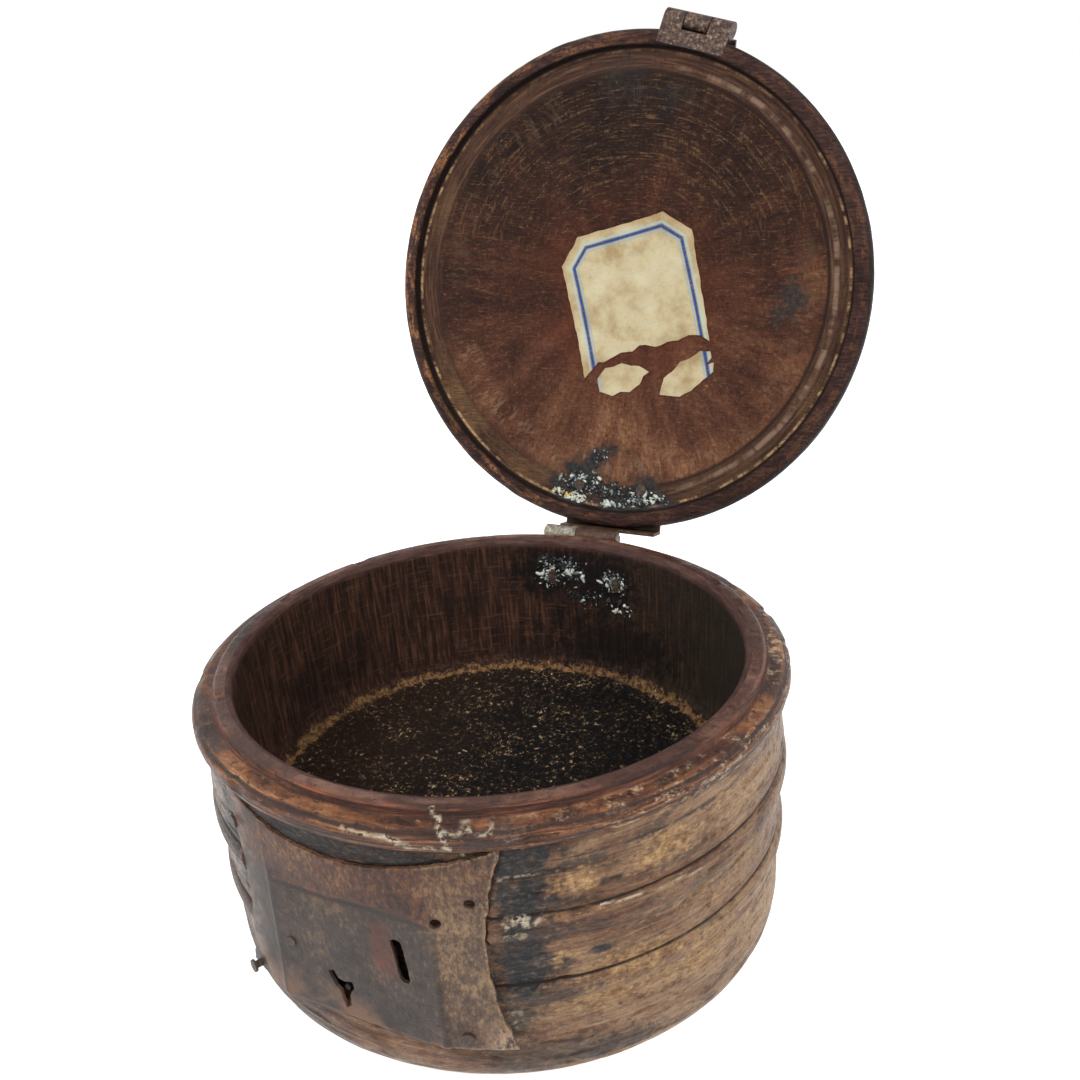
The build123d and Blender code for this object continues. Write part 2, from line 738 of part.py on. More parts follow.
def hasp():
    """The swinging strap, locked: it hangs down in front of the lock plate."""
    neck_half = hasp_knuckle_width / 2
    place = (-hasp_axis_radius, hasp_axis_height)
    strap = rod_x(hasp_knuckle_radius, -neck_half, neck_half, *place)
    sheet_range = (-hasp_inner - hasp_sheet, -hasp_inner)
    shoulder = hasp_axis_height - hasp_shoulder_drop
    strap += box_between((-neck_half, neck_half), sheet_range, (shoulder - 1, hasp_axis_height))
    tip = slot_middle - hasp_tail
    outline = Polyline(
        (-hasp_body_half + hasp_tip_radius, tip),
        (hasp_body_half - hasp_tip_radius, tip),
    )
    bend = hasp_tip_radius * (1 - sqrt(0.5))
    for side in (1, -1):
        outline += ThreePointArc(
            (side * (hasp_body_half - hasp_tip_radius), tip),
            (side * (hasp_body_half - bend), tip + bend),
            (side * hasp_body_half, tip + hasp_tip_radius),
        )
        outline += Line((side * hasp_body_half, tip + hasp_tip_radius), (side * hasp_body_half, shoulder))
    outline += Line((-hasp_body_half, shoulder), (hasp_body_half, shoulder))
    sheet = front_slab(outline, hasp_sheet)
    strap += Pos(0, -hasp_inner, 0) * sheet
    curl_half = hasp_body_half - hasp_tip_radius
    strap += rod_x(hasp_curl_radius, -curl_half, curl_half, -hasp_inner - hasp_curl_radius, tip)
    strap -= rod_x(hasp_pin_radius + pin_play, -neck_half - 1, neck_half + 1, *place)
    foot = staple_place()
    tang_sides = (foot - staple_thickness / 2, foot + staple_thickness / 2)
    tang_heights = (slot_middle - staple_height / 2, slot_middle + staple_height / 2)
    strap -= box_between(tang_sides, (-hasp_inner - hasp_sheet - 1, -hasp_inner + 1), tang_heights)
    return swung_hasp(strap)


def staple_radius(depth, side):
    """The radius, along the hasp, of a plane y = -depth at a face of the staple."""
    turn = radians(hasp_azimuth)
    face = staple_place() + side * staple_thickness / 2
    return (depth + face * sin(turn)) / cos(turn)


def hasp_staple():
    """The eye that enters the slot, with a tang through the strap."""
    foot = staple_place()
    sides = (foot - staple_thickness / 2, foot + staple_thickness / 2)
    eye_outer = staple_radius(bolt_front, 1) + eye_play
    eye_inner = staple_radius(bolt_back, -1) - eye_play
    end = eye_inner - staple_end
    half = staple_height / 2
    back = -hasp_inner - hasp_sheet
    staple = box_between(sides, (back, -end), (slot_middle - half, slot_middle + half))
    eye_half = half - staple_wall
    eye = ((sides[0] - 1, sides[1] + 1), (-eye_outer, -eye_inner))
    staple -= box_between(*eye, (slot_middle - eye_half, slot_middle + eye_half))
    return swung_hasp(staple)


def label():
    """A clipped paper label, laid in the dish of the lid."""
    half_w = label_width / 2
    half_h = label_height / 2
    clip = label_clip
    corners = []
    for x_side, y_side, first in ((1, 1, 1), (1, -1, 0), (-1, -1, 1), (-1, 1, 0)):
        near_side = (x_side * half_w, y_side * (half_h - clip))
        near_end = (x_side * (half_w - clip), y_side * half_h)
        corners += [near_end, near_side] if first else [near_side, near_end]
    paper = extrude(make_face(Polyline(*corners, close=True)), amount=crown_top, dir=(0, 0, 1))
    paper = Pos(label_right, label_drop, 0) * Rot(0, 0, -label_turn) * paper
    return opened(paper & (dish_ball(label_seat_gap) - dish_ball(label_seat_gap + label_thickness)))


NODES = {
    "body": body,
    "lock_plate": lock_plate,
    "lock_plate_nails": lock_plate_nails,
    "lock_back_plate": lock_back_plate,
    "lock_rivets": lock_rivets,
    "bolt_guide_left": bolt_guide_left,
    "bolt_keeper_right": bolt_keeper_right,
    "lock_bolt": lock_bolt,
    "bolt_spring": bolt_spring,
    "key_pin": key_pin,
    "lock_ward": lock_ward,
    "rear_hinge_body_leaf": rear_hinge_body_leaf,
    "body_hinge_nails": body_hinge_nails,
    "rear_hinge_pin": rear_hinge_pin,
    "lid": lid,
    "rear_hinge_lid_leaf": rear_hinge_lid_leaf,
    "lid_hinge_nails": lid_hinge_nails,
    "label": label,
    "hasp_leaf": hasp_leaf,
    "hasp_leaf_rivets": hasp_leaf_rivets,
    "hasp_pin": hasp_pin,
    "hasp": hasp,
    "hasp_staple": hasp_staple,
}

os.makedirs("parts", exist_ok=True)
for name, make in NODES.items():
    export_step(make(), f"parts/{name}.step")
    print("made", name)
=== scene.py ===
import bpy
import json
import math
import random
from mathutils import Matrix, Vector, geometry, noise


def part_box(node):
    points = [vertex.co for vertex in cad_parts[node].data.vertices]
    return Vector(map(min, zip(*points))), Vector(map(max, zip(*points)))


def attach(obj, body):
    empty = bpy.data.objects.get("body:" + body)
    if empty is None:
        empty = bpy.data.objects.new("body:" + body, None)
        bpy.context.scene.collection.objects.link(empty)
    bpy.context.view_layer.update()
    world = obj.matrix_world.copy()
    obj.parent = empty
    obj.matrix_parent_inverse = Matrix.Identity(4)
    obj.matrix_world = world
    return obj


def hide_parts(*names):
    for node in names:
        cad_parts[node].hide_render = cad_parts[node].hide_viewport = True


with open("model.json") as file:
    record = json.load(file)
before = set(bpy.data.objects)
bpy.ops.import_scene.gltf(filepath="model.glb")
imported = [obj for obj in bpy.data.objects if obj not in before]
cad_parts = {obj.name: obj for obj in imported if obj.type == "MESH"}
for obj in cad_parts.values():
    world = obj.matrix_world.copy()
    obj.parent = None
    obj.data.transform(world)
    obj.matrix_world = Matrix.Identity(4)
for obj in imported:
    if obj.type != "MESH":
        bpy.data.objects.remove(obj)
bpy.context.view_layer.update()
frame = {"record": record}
mm = 0.001
joints = {joint["name"]: joint for joint in frame["record"]["behaviour"]["joints"]}
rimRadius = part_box("body")[1].x / mm
plateLow, plateHigh = (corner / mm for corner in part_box("lock_plate"))
outermost = 62.42  # the wood goes no further out, a hair inside the solid's rim
print("frame loaded, rim radius", round(rimRadius, 2))


# the lid's pieces are laid out shut, where they are round about Z, and then swung open
def swing(jointName, degrees):
    joint = joints[jointName]
    place = Matrix.Translation(Vector(joint["pos_m"]))
    turn = Matrix.Rotation(math.radians(degrees), 4, Vector(joint["axis"]))
    return place @ turn @ place.inverted()


lidOpen = swing("lid_hinge", -joints["lid_hinge"]["range_deg"][1])
lidShut = lidOpen.inverted()


def clamp(value, low=0.0, high=1.0):
    return max(low, min(high, value))


def smooth(low, high, value):
    share = clamp((value - low) / (high - low))
    return share * share * (3 - 2 * share)


def streaks(x, y, z, seed=0.0):
    return noise.noise(Vector((x + seed, y - seed, z + 0.5 * seed)))


# camera, from the photograph's own perspective; the frame is an off-centre crop
cameraView = {
    "place": (0.12039, -0.20764, 0.18707),
    "right": (0.86501, 0.49068, -0.10480),
    "down": (0.06360, -0.31441, -0.94715),
    "forward": (-0.49770, 0.81263, -0.30318),
    "lens": 42.03,
    "shift": (0.0998, -0.1137),
}


def newObject(name, data):
    thing = bpy.data.objects.new(name, data)
    bpy.context.scene.collection.objects.link(thing)
    return thing


def setCamera(view):
    data = bpy.data.cameras.new("photoCamera")
    data.sensor_width = 36
    data.lens = view["lens"]
    data.shift_x, data.shift_y = view["shift"]
    data.clip_start = 0.01
    camera = newObject("photoCamera", data)
    axes = Matrix((view["right"], [-v for v in view["down"]], [-v for v in view["forward"]])).transposed()
    camera.matrix_world = Matrix.Translation(view["place"]) @ axes.to_4x4()
    bpy.context.scene.camera = camera


setCamera(cameraView)
print("camera set")

# the node tree of the material being made; every node helper adds to it
making = {}


def startTree(tree):
    tree.nodes.clear()
    making["tree"] = tree


def newMaterial(name):
    material = bpy.data.materials.new(name)
    material.use_nodes = True
    startTree(material.node_tree)
    return material


def newNode(kind):
    return making["tree"].nodes.new("ShaderNode" + kind)


def link(output, socket):
    making["tree"].links.new(output, socket)


def feed(socket, value):
    if isinstance(value, bpy.types.NodeSocket):
        link(value, socket)
    else:
        socket.default_value = value


def maths(kind, *values):
    node = newNode("Math")
    node.operation = kind
    for socket, value in zip(node.inputs, values):
        feed(socket, value)
    return node.outputs[0]


def times(*values):
    total = values[0]
    for value in values[1:]:
        total = maths("MULTIPLY", total, value)
    return total


def plus(first, second):
    return maths("ADD", first, second)


def minus(first, second):
    return maths("SUBTRACT", first, second)


def scaled(value, factor, more):
    return maths("MULTIPLY_ADD", value, factor, more)


def ranged(value, low, high, toLow=0.0, toHigh=1.0):
    node = newNode("MapRange")
    node.interpolation_type = "SMOOTHSTEP"
    names = ("Value", "From Min", "From Max", "To Min", "To Max")
    for name, number in zip(names, (value, low, high, toLow, toHigh)):
        feed(node.inputs[name], number)
    return node.outputs["Result"]


# 1 on a thin line where value is at middle, 0 past its half width
def nearLine(value, middle, half):
    return ranged(maths("ABSOLUTE", minus(value, middle)), half, half * 0.25)


# red, green and blue, 0 to 255, as the shader's own colour
def sRgb(red, green, blue):
    linear = [((v / 255 + 0.055) / 1.055) ** 2.4 if v > 10 else v / 255 / 12.92 for v in (red, green, blue)]
    return (*linear, 1.0)


def blend(share, first, second):
    node = newNode("Mix")
    node.data_type = "RGBA"
    feed(node.inputs["Factor"], share)
    for slot, colour in ((6, first), (7, second)):
        feed(node.inputs[slot], sRgb(*colour) if isinstance(colour, tuple) else colour)
    return node.outputs[2]


# coats laid one over the other, each (cloud, none here, full here, strength, colour)
def coats(colour, *layers):
    for cover, low, high, strength, tint in layers:
        colour = blend(ranged(cover, low, high, 0, strength), colour, tint)
    return colour


def ramp(value, stops):
    node = newNode("ValToRGB")
    points = node.color_ramp.elements
    while len(points) < len(stops):
        points.new(0.5)
    for point, (place, colour) in zip(points, stops):
        point.position = place
        point.color = sRgb(*colour)
    feed(node.inputs[0], value)
    return node.outputs["Color"]


def stretched(place, stretch):
    node = newNode("VectorMath")
    node.operation = "MULTIPLY"
    feed(node.inputs[0], place)
    node.inputs[1].default_value = stretch
    return node.outputs[0]


# scale is one number, or one for each of X, Y and Z
def cloud(place, scale, detail, rough, distort=0.0):
    if isinstance(scale, tuple):
        place, scale = stretched(place, scale), 1.0
    node = newNode("TexNoise")
    feed(node.inputs["Vector"], place)
    values = {"Scale": scale, "Detail": detail, "Roughness": rough, "Distortion": distort}
    for name, value in values.items():
        node.inputs[name].default_value = value
    return node.outputs["Fac"]


def mark(name):
    node = newNode("Attribute")
    node.attribute_name = name
    return node.outputs["Fac"]


# where a point lies in the turned piece: millimetres in the shut lid's frame, with its radius
def turnedPlace(onLid=False):
    place = newNode("TexCoord").outputs["Object"]
    if onLid:
        back = newNode("Mapping")
        link(place, back.inputs["Vector"])
        back.inputs["Rotation"].default_value = lidShut.to_euler()
        back.inputs["Location"].default_value = lidShut.to_translation()
        place = back.outputs[0]
    place = stretched(place, (1 / mm, 1 / mm, 1 / mm))
    apart = newNode("SeparateXYZ")
    link(place, apart.inputs[0])
    x, y, z = apart.outputs
    radius = maths("SQRT", plus(times(x, x), times(y, y)))
    return {"place": place, "x": x, "y": y, "z": z, "radius": radius}


# noise drawn out along the radius, or round the centre
def radialCloud(at, around, along, detail=5.0, rough=0.6):
    away = maths("MAXIMUM", at["radius"], 1.0)
    rays = [times(maths("DIVIDE", side, away), around) for side in (at["x"], at["y"])]
    node = newNode("CombineXYZ")
    for socket, value in zip(node.inputs, rays + [times(at["radius"], along)]):
        link(value, socket)
    return cloud(node.outputs[0], 1.0, detail, rough)


def surface(colour, rough, bump, depth, metal=0.0, specular=0.5):
    shader = newNode("BsdfPrincipled")
    feed(shader.inputs["Base Color"], colour)
    feed(shader.inputs["Roughness"], rough)
    shader.inputs["Metallic"].default_value = metal
    shader.inputs["Specular IOR Level"].default_value = specular
    node = newNode("Bump")
    node.inputs["Distance"].default_value = depth * mm
    node.inputs["Strength"].default_value = 1.0
    link(bump, node.inputs["Height"])
    link(node.outputs[0], shader.inputs["Normal"])
    link(shader.outputs[0], newNode("OutputMaterial").inputs[0])


# room: white floor and walls to the camera, plain soft light on the box
room = {
    "worldLevel": 0.5,
    "lampsAim": (0, 0.03, 0.08),
    "keyPlace": (-0.45, -0.75, 1.05),
    "keyPower": 13.0,
    "keySize": 0.7,
    "fillPlace": (0.95, -0.45, 0.75),
    "fillPower": 9.5,
    "fillSize": 0.7,
    "floorSize": 4.0,
    "glowNear": 0.72,
    "fadeFrom": 0.22,
    "fadeTo": 0.5,
}


def areaLamp(name, place, power, size):
    data = bpy.data.lights.new(name, "AREA")
    data.shape = "DISK"
    data.size = size
    data.energy = power
    lamp = newObject(name, data)
    lamp.location = place
    lamp.rotation_euler = (Vector(room["lampsAim"]) - Vector(place)).to_track_quat("-Z", "Y").to_euler()


def seenRays():
    rays = newNode("LightPath")
    seen = maths("MAXIMUM", rays.outputs["Is Camera Ray"], rays.outputs["Is Glossy Ray"])
    return maths("MAXIMUM", seen, rays.outputs["Is Transmission Ray"])


def setSky():
    world = bpy.data.worlds.new("room")
    bpy.context.scene.world = world
    world.use_nodes = True
    startTree(world.node_tree)
    sky = newNode("Background")
    sky.inputs["Color"].default_value = (1, 1, 1, 1)
    link(scaled(seenRays(), 1.0 - room["worldLevel"], room["worldLevel"]), sky.inputs["Strength"])
    link(sky.outputs[0], newNode("OutputWorld").inputs[0])


def floorMaterial():
    material = newMaterial("paleFloor")
    dull = newNode("BsdfDiffuse")
    dull.inputs["Color"].default_value = (0.8, 0.8, 0.8, 1)
    glow = newNode("Emission")
    glow.inputs["Color"].default_value = (1, 1, 1, 1)
    away = turnedPlace()["radius"]
    far = ranged(away, room["fadeFrom"] / mm, room["fadeTo"] / mm, room["glowNear"], 1.0)
    link(times(seenRays(), far), glow.inputs["Strength"])
    both = newNode("AddShader")
    link(dull.outputs[0], both.inputs[0])
    link(glow.outputs[0], both.inputs[1])
    link(both.outputs[0], newNode("OutputMaterial").inputs[0])
    return material


def layFloor():
    half = room["floorSize"] / 2
    corners = [(-half, -half, 0), (half, -half, 0), (half, half, 0), (-half, half, 0)]
    mesh = bpy.data.meshes.new("floor")
    mesh.from_pydata(corners, [], [(0, 1, 2, 3)])
    mesh.materials.append(floorMaterial())
    floor = newObject("floor", mesh)


setSky()
layFloor()
areaLamp("keyLamp", room["keyPlace"], room["keyPower"], room["keySize"])
areaLamp("fillLamp", room["fillPlace"], room["fillPower"], room["fillSize"])
bpy.context.scene.view_settings.view_transform = "Standard"
print("room lit")


# turned work: a profile of (radius, height) in millimetres, resampled and spun about Z
def evenly(path, step):
    points = [Vector(path[0])]
    for start, end in zip(path, path[1:]):
        start, end = Vector(start), Vector(end)
        count = max(1, round((end - start).length / step))
        points += [start.lerp(end, (i + 1) / count) for i in range(count)]
    return points


def softened(points):
    middle = [(a + 2 * b + c) / 4 for a, b, c in zip(points, points[1:], points[2:])]
    return points[:1] + middle + points[-1:]


def newPiece(name, vertices, faces):
    mesh = bpy.data.meshes.new(name)
    mesh.from_pydata([tuple(v * mm for v in vertex) for vertex in vertices], [], faces)
    mesh.shade_smooth()
    return newObject(name, mesh)


# shaped(azimuth, point, outward) gives each vertex of the spun profile its place
def spun(name, profile, segments, shaped):
    vertices = []
    directions = [(b - a).normalized() for a, b in zip(profile, profile[1:])]
    directions.append(directions[-1])
    for i in range(segments):
        azimuth = 2 * math.pi * i / segments
        for point, along in zip(profile, directions):
            vertices.append(shaped(azimuth, point, Vector((along.y, -along.x))))
    faces = []
    count = len(profile)
    for i in range(segments):
        here, there = i * count, (i + 1) % segments * count
        for k in range(count - 1):
            faces.append((here + k, there + k, there + k + 1, here + k + 1))
    return newPiece(name, vertices, faces)


# azimuth 0 faces the front, at -Y, and grows towards +X
def aroundZ(azimuth, radius, height):
    return (radius * math.sin(azimuth), -radius * math.cos(azimuth), height)


def paintLayer(piece, name, values):
    layer = piece.data.attributes.new(name, "FLOAT", "POINT")
    layer.data.foreach_set("value", values)


def paintMarks(piece, lists, toShut=Matrix()):
    places = [toShut @ v.co / mm for v in piece.data.vertices]
    spots = [(math.degrees(math.atan2(p.x, -p.y)), math.hypot(p.x, p.y), p.z) for p in places]
    for name, marks in lists.items():
        paintLayer(piece, name, [max(entry(*spot) for entry in marks) for spot in spots])


# a ragged blot: middle azimuth and height, half widths in degrees and millimetres
def blot(azimuth0, z0, wide, tall, strength, seed, ragged=0.5, lean=0.0, radii=(57.6, 70)):
    def amount(azimuth, radius, z):
        turn = (azimuth - azimuth0 + 180) % 360 - 180
        if abs(turn) > 2.2 * wide + 2 or not radii[0] < radius < radii[1]:
            return 0.0
        rise = z - z0 - lean * turn
        if abs(rise) > 2.2 * tall + 2:
            return 0.0
        rough = streaks(turn * 0.5, rise * 0.5, 3.1, seed) + streaks(turn * 1.6, rise * 1.8, 1.7, seed)
        away = math.hypot(turn / wide, rise / tall) + 1.3 * ragged * rough
        return strength * smooth(1.2, 0.5, away)
    return amount


degreeRun = 1.06  # millimetres along the drum's outside to a degree


# a crooked thin line through (azimuth, height) points, half width in millimetres: scratches and cracks, and
# also painted glints and painted shadow gaps
def crookedLine(points, half, strength, wander, seed):
    low = min(p[0] for p in points) - 3
    high = max(p[0] for p in points) + 3

    def amount(azimuth, radius, z):
        if not low < azimuth < high or not 57.0 < radius < 70:
            return 0.0
        across = azimuth * degreeRun + wander * streaks(azimuth * 0.5, z * 0.9, 0.3, seed)
        rise = z + wander * streaks(azimuth * 0.5, z * 0.9, 5.3, seed)
        best = 9.0
        for (a1, z1), (a2, z2) in zip(points, points[1:]):
            run = Vector(((a2 - a1) * degreeRun, z2 - z1))
            here = Vector((across - a1 * degreeRun, rise - z1))
            share = clamp(here.dot(run) / run.length_squared)
            best = min(best, (here - run * share).length)
        return strength * smooth(half * 1.4, half * 0.4, best)
    return amount


# the lock plate's front view, in millimetres, and the bent face it has
plate = {
    "waistIn": 3.6,
    "topDip": 5.0,
    "outer": 60.9,
    "thick": 0.8,
    "seat": 59.85,
    "panelHalf": 17.7,
    "panelPlane": 58.8,
    "panelTop": 38.2,
    "woodFlat": 57.8,
    "worksLeft": -16.6,
    "worksRight": 16.0,
    "worksLow": 13.4,
    "worksHigh": 34.0,
    "worksBack": 54.8,
    "step": 0.55,
    "keyhole": [(-6.6, 20.4), (-5.4, 21.0), (-4.6, 19.3), (-3.2, 18.9), (-1.6, 19.5), (-1.2, 18.3),
                (-2.2, 16.4), (-2.5, 13.7), (-3.6, 13.0), (-4.1, 14.6), (-4.4, 16.3), (-5.2, 17.3),
                (-5.9, 18.7)],
    "slot": [(8.6, 32.3), (9.3, 32.8), (10.6, 32.6), (11.0, 31.8), (11.8, 24.3), (11.4, 23.6), (10.1, 23.5),
             (9.5, 24.2)],
    "holes": [(18.2, 38.4, 1.0), (24.1, 42.5, 0.95)],
    "darkSpots": [(-14.4, 31.2, 1.3), (-14.4, 24.4, 1.6), (18.2, 38.4, 1.9), (24.1, 42.5, 1.6),
                  (21.7, 14.0, 1.5), (-6.0, 20.0, 2.2)],
}


def plateInset(x, z):
    tip = plateHigh.x
    middle = (plateLow.z + plateHigh.z) / 2
    tall = (plateHigh.z - plateLow.z) / 2
    side = tip - plate["waistIn"] * (1 - ((z - middle) / tall) ** 2)
    top = plateHigh.z - plate["topDip"] * (1 - (x / tip) ** 2)
    return min(z - plateLow.z, top - z, side - abs(x))


def plateDepth(x, z):
    curved = math.sqrt(plate["outer"] ** 2 - x * x)
    panel = smooth(plate["panelHalf"] + 0.9, plate["panelHalf"] - 0.5, abs(x))
    ridge = plate["panelTop"] + 0.8 + 0.9 * streaks(x * 0.12, 0, 0, 8)
    panel *= smooth(ridge + 1.6, ridge - 1.2, z)
    depth = curved + (plate["panelPlane"] - curved) * panel
    depth += 0.22 * streaks(x * 0.09, z * 0.11, 0, 2) + 0.10 * streaks(x * 0.35, z * 0.35, 0, 5)
    depth += 0.22 * math.exp(-((z - ridge) / 0.9) ** 2) * smooth(18.5, 15, abs(x))
    depth += 0.25 * smooth(20, 27, x) * (0.5 + streaks(0, z * 0.12, 0, 3))
    depth += 0.12 * math.exp(-((abs(x) - plate["panelHalf"] - 0.4) / 0.5) ** 2)
    return depth


def insideOf(x, z, outline):
    inside = False
    for (x1, z1), (x2, z2) in zip(outline, outline[1:] + outline[:1]):
        if (z1 > z) != (z2 > z) and x < x1 + (x2 - x1) * (z - z1) / (z2 - z1):
            inside = not inside
    return inside


# a cut sheet: an outline with holes and fine triangles between, all turned one way, as (points, triangles)
def cutSheet(outline, holes, step, keep, way):
    cut = []
    edges = []
    for loop in [outline] + holes:
        first = len(cut)
        cut += [Vector(p) for p in loop]
        edges += [(first + i, first + (i + 1) % len(loop)) for i in range(len(loop))]
    low = Vector((min(p.x for p in cut), min(p.y for p in cut)))
    high = Vector((max(p.x for p in cut), max(p.y for p in cut)))
    points = list(cut)
    for row in range(1, int((high.y - low.y) / step)):
        for column in range(int((high.x - low.x) / step)):
            spot = low + Vector((column + 0.5 * (row % 2), row)) * step
            if keep(spot.x, spot.y) and min((spot - p).length_squared for p in cut) > (0.45 * step) ** 2:
                points.append(spot)
    found = geometry.delaunay_2d_cdt(points, edges, [], 0, 1e-5)
    points = found[0]
    triangles = []
    for face in found[2]:
        a, b, c = (points[i] for i in face)
        middle = (a + b + c) / 3
        if insideOf(*middle, outline) and not any(insideOf(*middle, hole) for hole in holes):
            triangles.append(tuple(face) if (b - a).cross(c - a) * way > 0 else tuple(reversed(face)))
    return points, triangles


# gives a cut sheet its thickness: front and back place each point, and walls join them
def thickSheet(name, points, triangles, front, back):
    vertices = [front(p) for p in points] + [back(p) for p in points]
    count = len(points)
    faces = triangles + [tuple(i + count for i in reversed(face)) for face in triangles]
    sides = dict.fromkeys(side for face in triangles for side in zip(face, face[1:] + face[:1]))
    faces += [(b, a, a + count, b + count) for a, b in sides if (b, a) not in sides]
    piece = newPiece(name, vertices, faces)
    piece.data.set_sharp_from_angle(angle=math.radians(40))
    return piece


def roughLoop(loop, step, rough, seed):
    rim = []
    for x, y in evenly(loop + loop[:1], step)[:-1]:
        aside, along = (rough * streaks(x * 0.5, y * 0.5, layer, seed) for layer in (0, 7))
        rim.append((x + aside, y + along))
    return rim


def plateOutline():
    tip, low, high = plateHigh.x, plateLow.z, plateHigh.z
    middle, tall = (low + high) / 2, (high - low) / 2
    steps = [i / 12 - 1 for i in range(25)]
    loop = [(tip * s, low) for s in steps]
    loop += [(tip - plate["waistIn"] * (1 - s * s), middle + tall * s) for s in steps[1:]]
    loop += [(-tip * s, high - plate["topDip"] * (1 - s * s)) for s in steps[1:]]
    loop += [(-tip + plate["waistIn"] * (1 - s * s), middle - tall * s) for s in steps[1:-1]]
    return loop


def lockPlate():
    outline = [(clamp(x, plateLow.x, plateHigh.x), clamp(z, plateLow.z, plateHigh.z))
               for x, z in roughLoop(plateOutline(), 0.7, 0.35, 4)]
    holes = [roughLoop(plate["keyhole"], 0.5, 0.25, 6), roughLoop(plate["slot"], 0.5, 0.15, 9)]
    for x, z, size in plate["holes"]:
        holes.append([(x + size * math.cos(t * 0.6283),
                       z + size * math.sin(t * 0.6283)) for t in range(10)])
    points, triangles = cutSheet(outline, holes, plate["step"], lambda x, z: plateInset(x, z) > 0.3, 1)

    def front(p):
        depth = plateDepth(p.x, p.y)
        curl = 0.12 * smooth(0.5, 0, plateInset(p.x, p.y))
        return (p.x, -(depth - curl), p.y)

    def back(p):
        x, y, z = front(p)
        shrink = 1 - plate["thick"] / math.hypot(x, y)
        return (x * shrink, y * shrink, z)

    return thickSheet("lockPlate", points, triangles, front, back)


def plateMaterial():
    material = newMaterial("stainedPlateIron")
    at = turnedPlace()
    place, x, z = at["place"], at["x"], at["z"]
    clouds = cloud(place, (0.11, 0.11, 0.13), 6, 0.62, 0.4)
    fine = cloud(place, (1.2, 1.2, 0.7), 6, 0.75)
    mottle = plus(times(fine, 0.62), times(clouds, 0.38))
    pits = cloud(place, 1.6, 4, 0.75)
    colour = ramp(mottle, [(0.38, (26, 20, 18)), (0.46, (48, 39, 35)), (0.54, (65, 54, 48)),
                           (0.62, (102, 84, 68))])
    high = ranged(scaled(clouds, 6.0, z), 39.5, 42.5)
    upper = ramp(mottle, [(0.38, (26, 17, 14)), (0.47, (56, 36, 28)), (0.54, (84, 53, 38)),
                          (0.62, (122, 92, 66))])
    colour = blend(high, colour, upper)
    flange = ranged(scaled(clouds, 3.0, x), 17.5, 20.5)
    tan = ramp(mottle, [(0.38, (52, 39, 33)), (0.49, (88, 69, 57)), (0.6, (140, 114, 86))])
    colour = blend(times(flange, ranged(z, 50, 36, 0.25, 0.95)), colour, tan)
    warm = times(ranged(z, 20, 12), ranged(clouds, 0.4, 0.6))
    colour = blend(times(warm, 0.7), colour, (118, 86, 68))
    red = times(nearLine(x, 6.6, 3.6), nearLine(z, 29.5, 8.0))
    colour = blend(times(red, ranged(mottle, 0.36, 0.6, 0.2, 0.7)), colour, (98, 50, 36))
    copper = times(ranged(x, 23.5, 28.5), ranged(z, 17.5, 12.0), ranged(mottle, 0.42, 0.56), 0.7)
    colour = blend(copper, colour, (206, 176, 148))
    pale = times(ranged(x, -21.0, -24.0), ranged(clouds, 0.44, 0.6, 0.0, 0.5))
    colour = blend(pale, colour, (150, 130, 116))
    # painted shade: dark lines along the panel's side bends and its top ridge; the dark spots from darkSpots
    # join it
    bendShade = times(nearLine(x, 17.5, 1.0), ranged(z, 38, 35), ranged(mottle, 0.7, 0.35, 0.4, 0.8))
    leftBendShade = times(nearLine(x, -17.6, 0.8), ranged(z, 39, 36), 0.6)
    ridge = times(nearLine(scaled(clouds, 2.4, z), 38.9, 0.9), 0.75,
                  ranged(maths("ABSOLUTE", x), 18.5, 16.5))
    shadeAndSpots = maths("MAXIMUM", maths("MAXIMUM", bendShade, leftBendShade), ridge)
    for spotX, spotZ, size in plate["darkSpots"]:
        square = plus(maths("POWER", minus(x, spotX), 2.0), maths("POWER", minus(z, spotZ), 2.0))
        shadeAndSpots = maths("MAXIMUM", shadeAndSpots, ranged(maths("SQRT", square), size, size * 0.4, 0, 0.6))
    colour = blend(shadeAndSpots, colour, (40, 30, 28))
    edge = times(ranged(mark("inset"), 0.6, 0.1), ranged(x, 10, 24, 0.1, 0.8))
    colour = blend(times(edge, ranged(pits, 0.42, 0.56)), colour, (150, 122, 96))
    rough = ranged(mottle, 0.35, 0.7, 0.34, 0.55)
    height = scaled(mottle, 1.2, times(pits, 0.8))
    surface(colour, rough, height, 0.45, metal=0.15, specular=0.3)
    return material


lockPlateSheet = lockPlate()
insets = [plateInset(v.co.x / mm, v.co.z / mm) for v in lockPlateSheet.data.vertices]
paintLayer(lockPlateSheet, "inset", insets)
lockPlateSheet.data.materials.append(plateMaterial())
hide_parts("lock_plate")
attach(lockPlateSheet, "drum")
print("lock plate finished", len(lockPlateSheet.data.vertices))


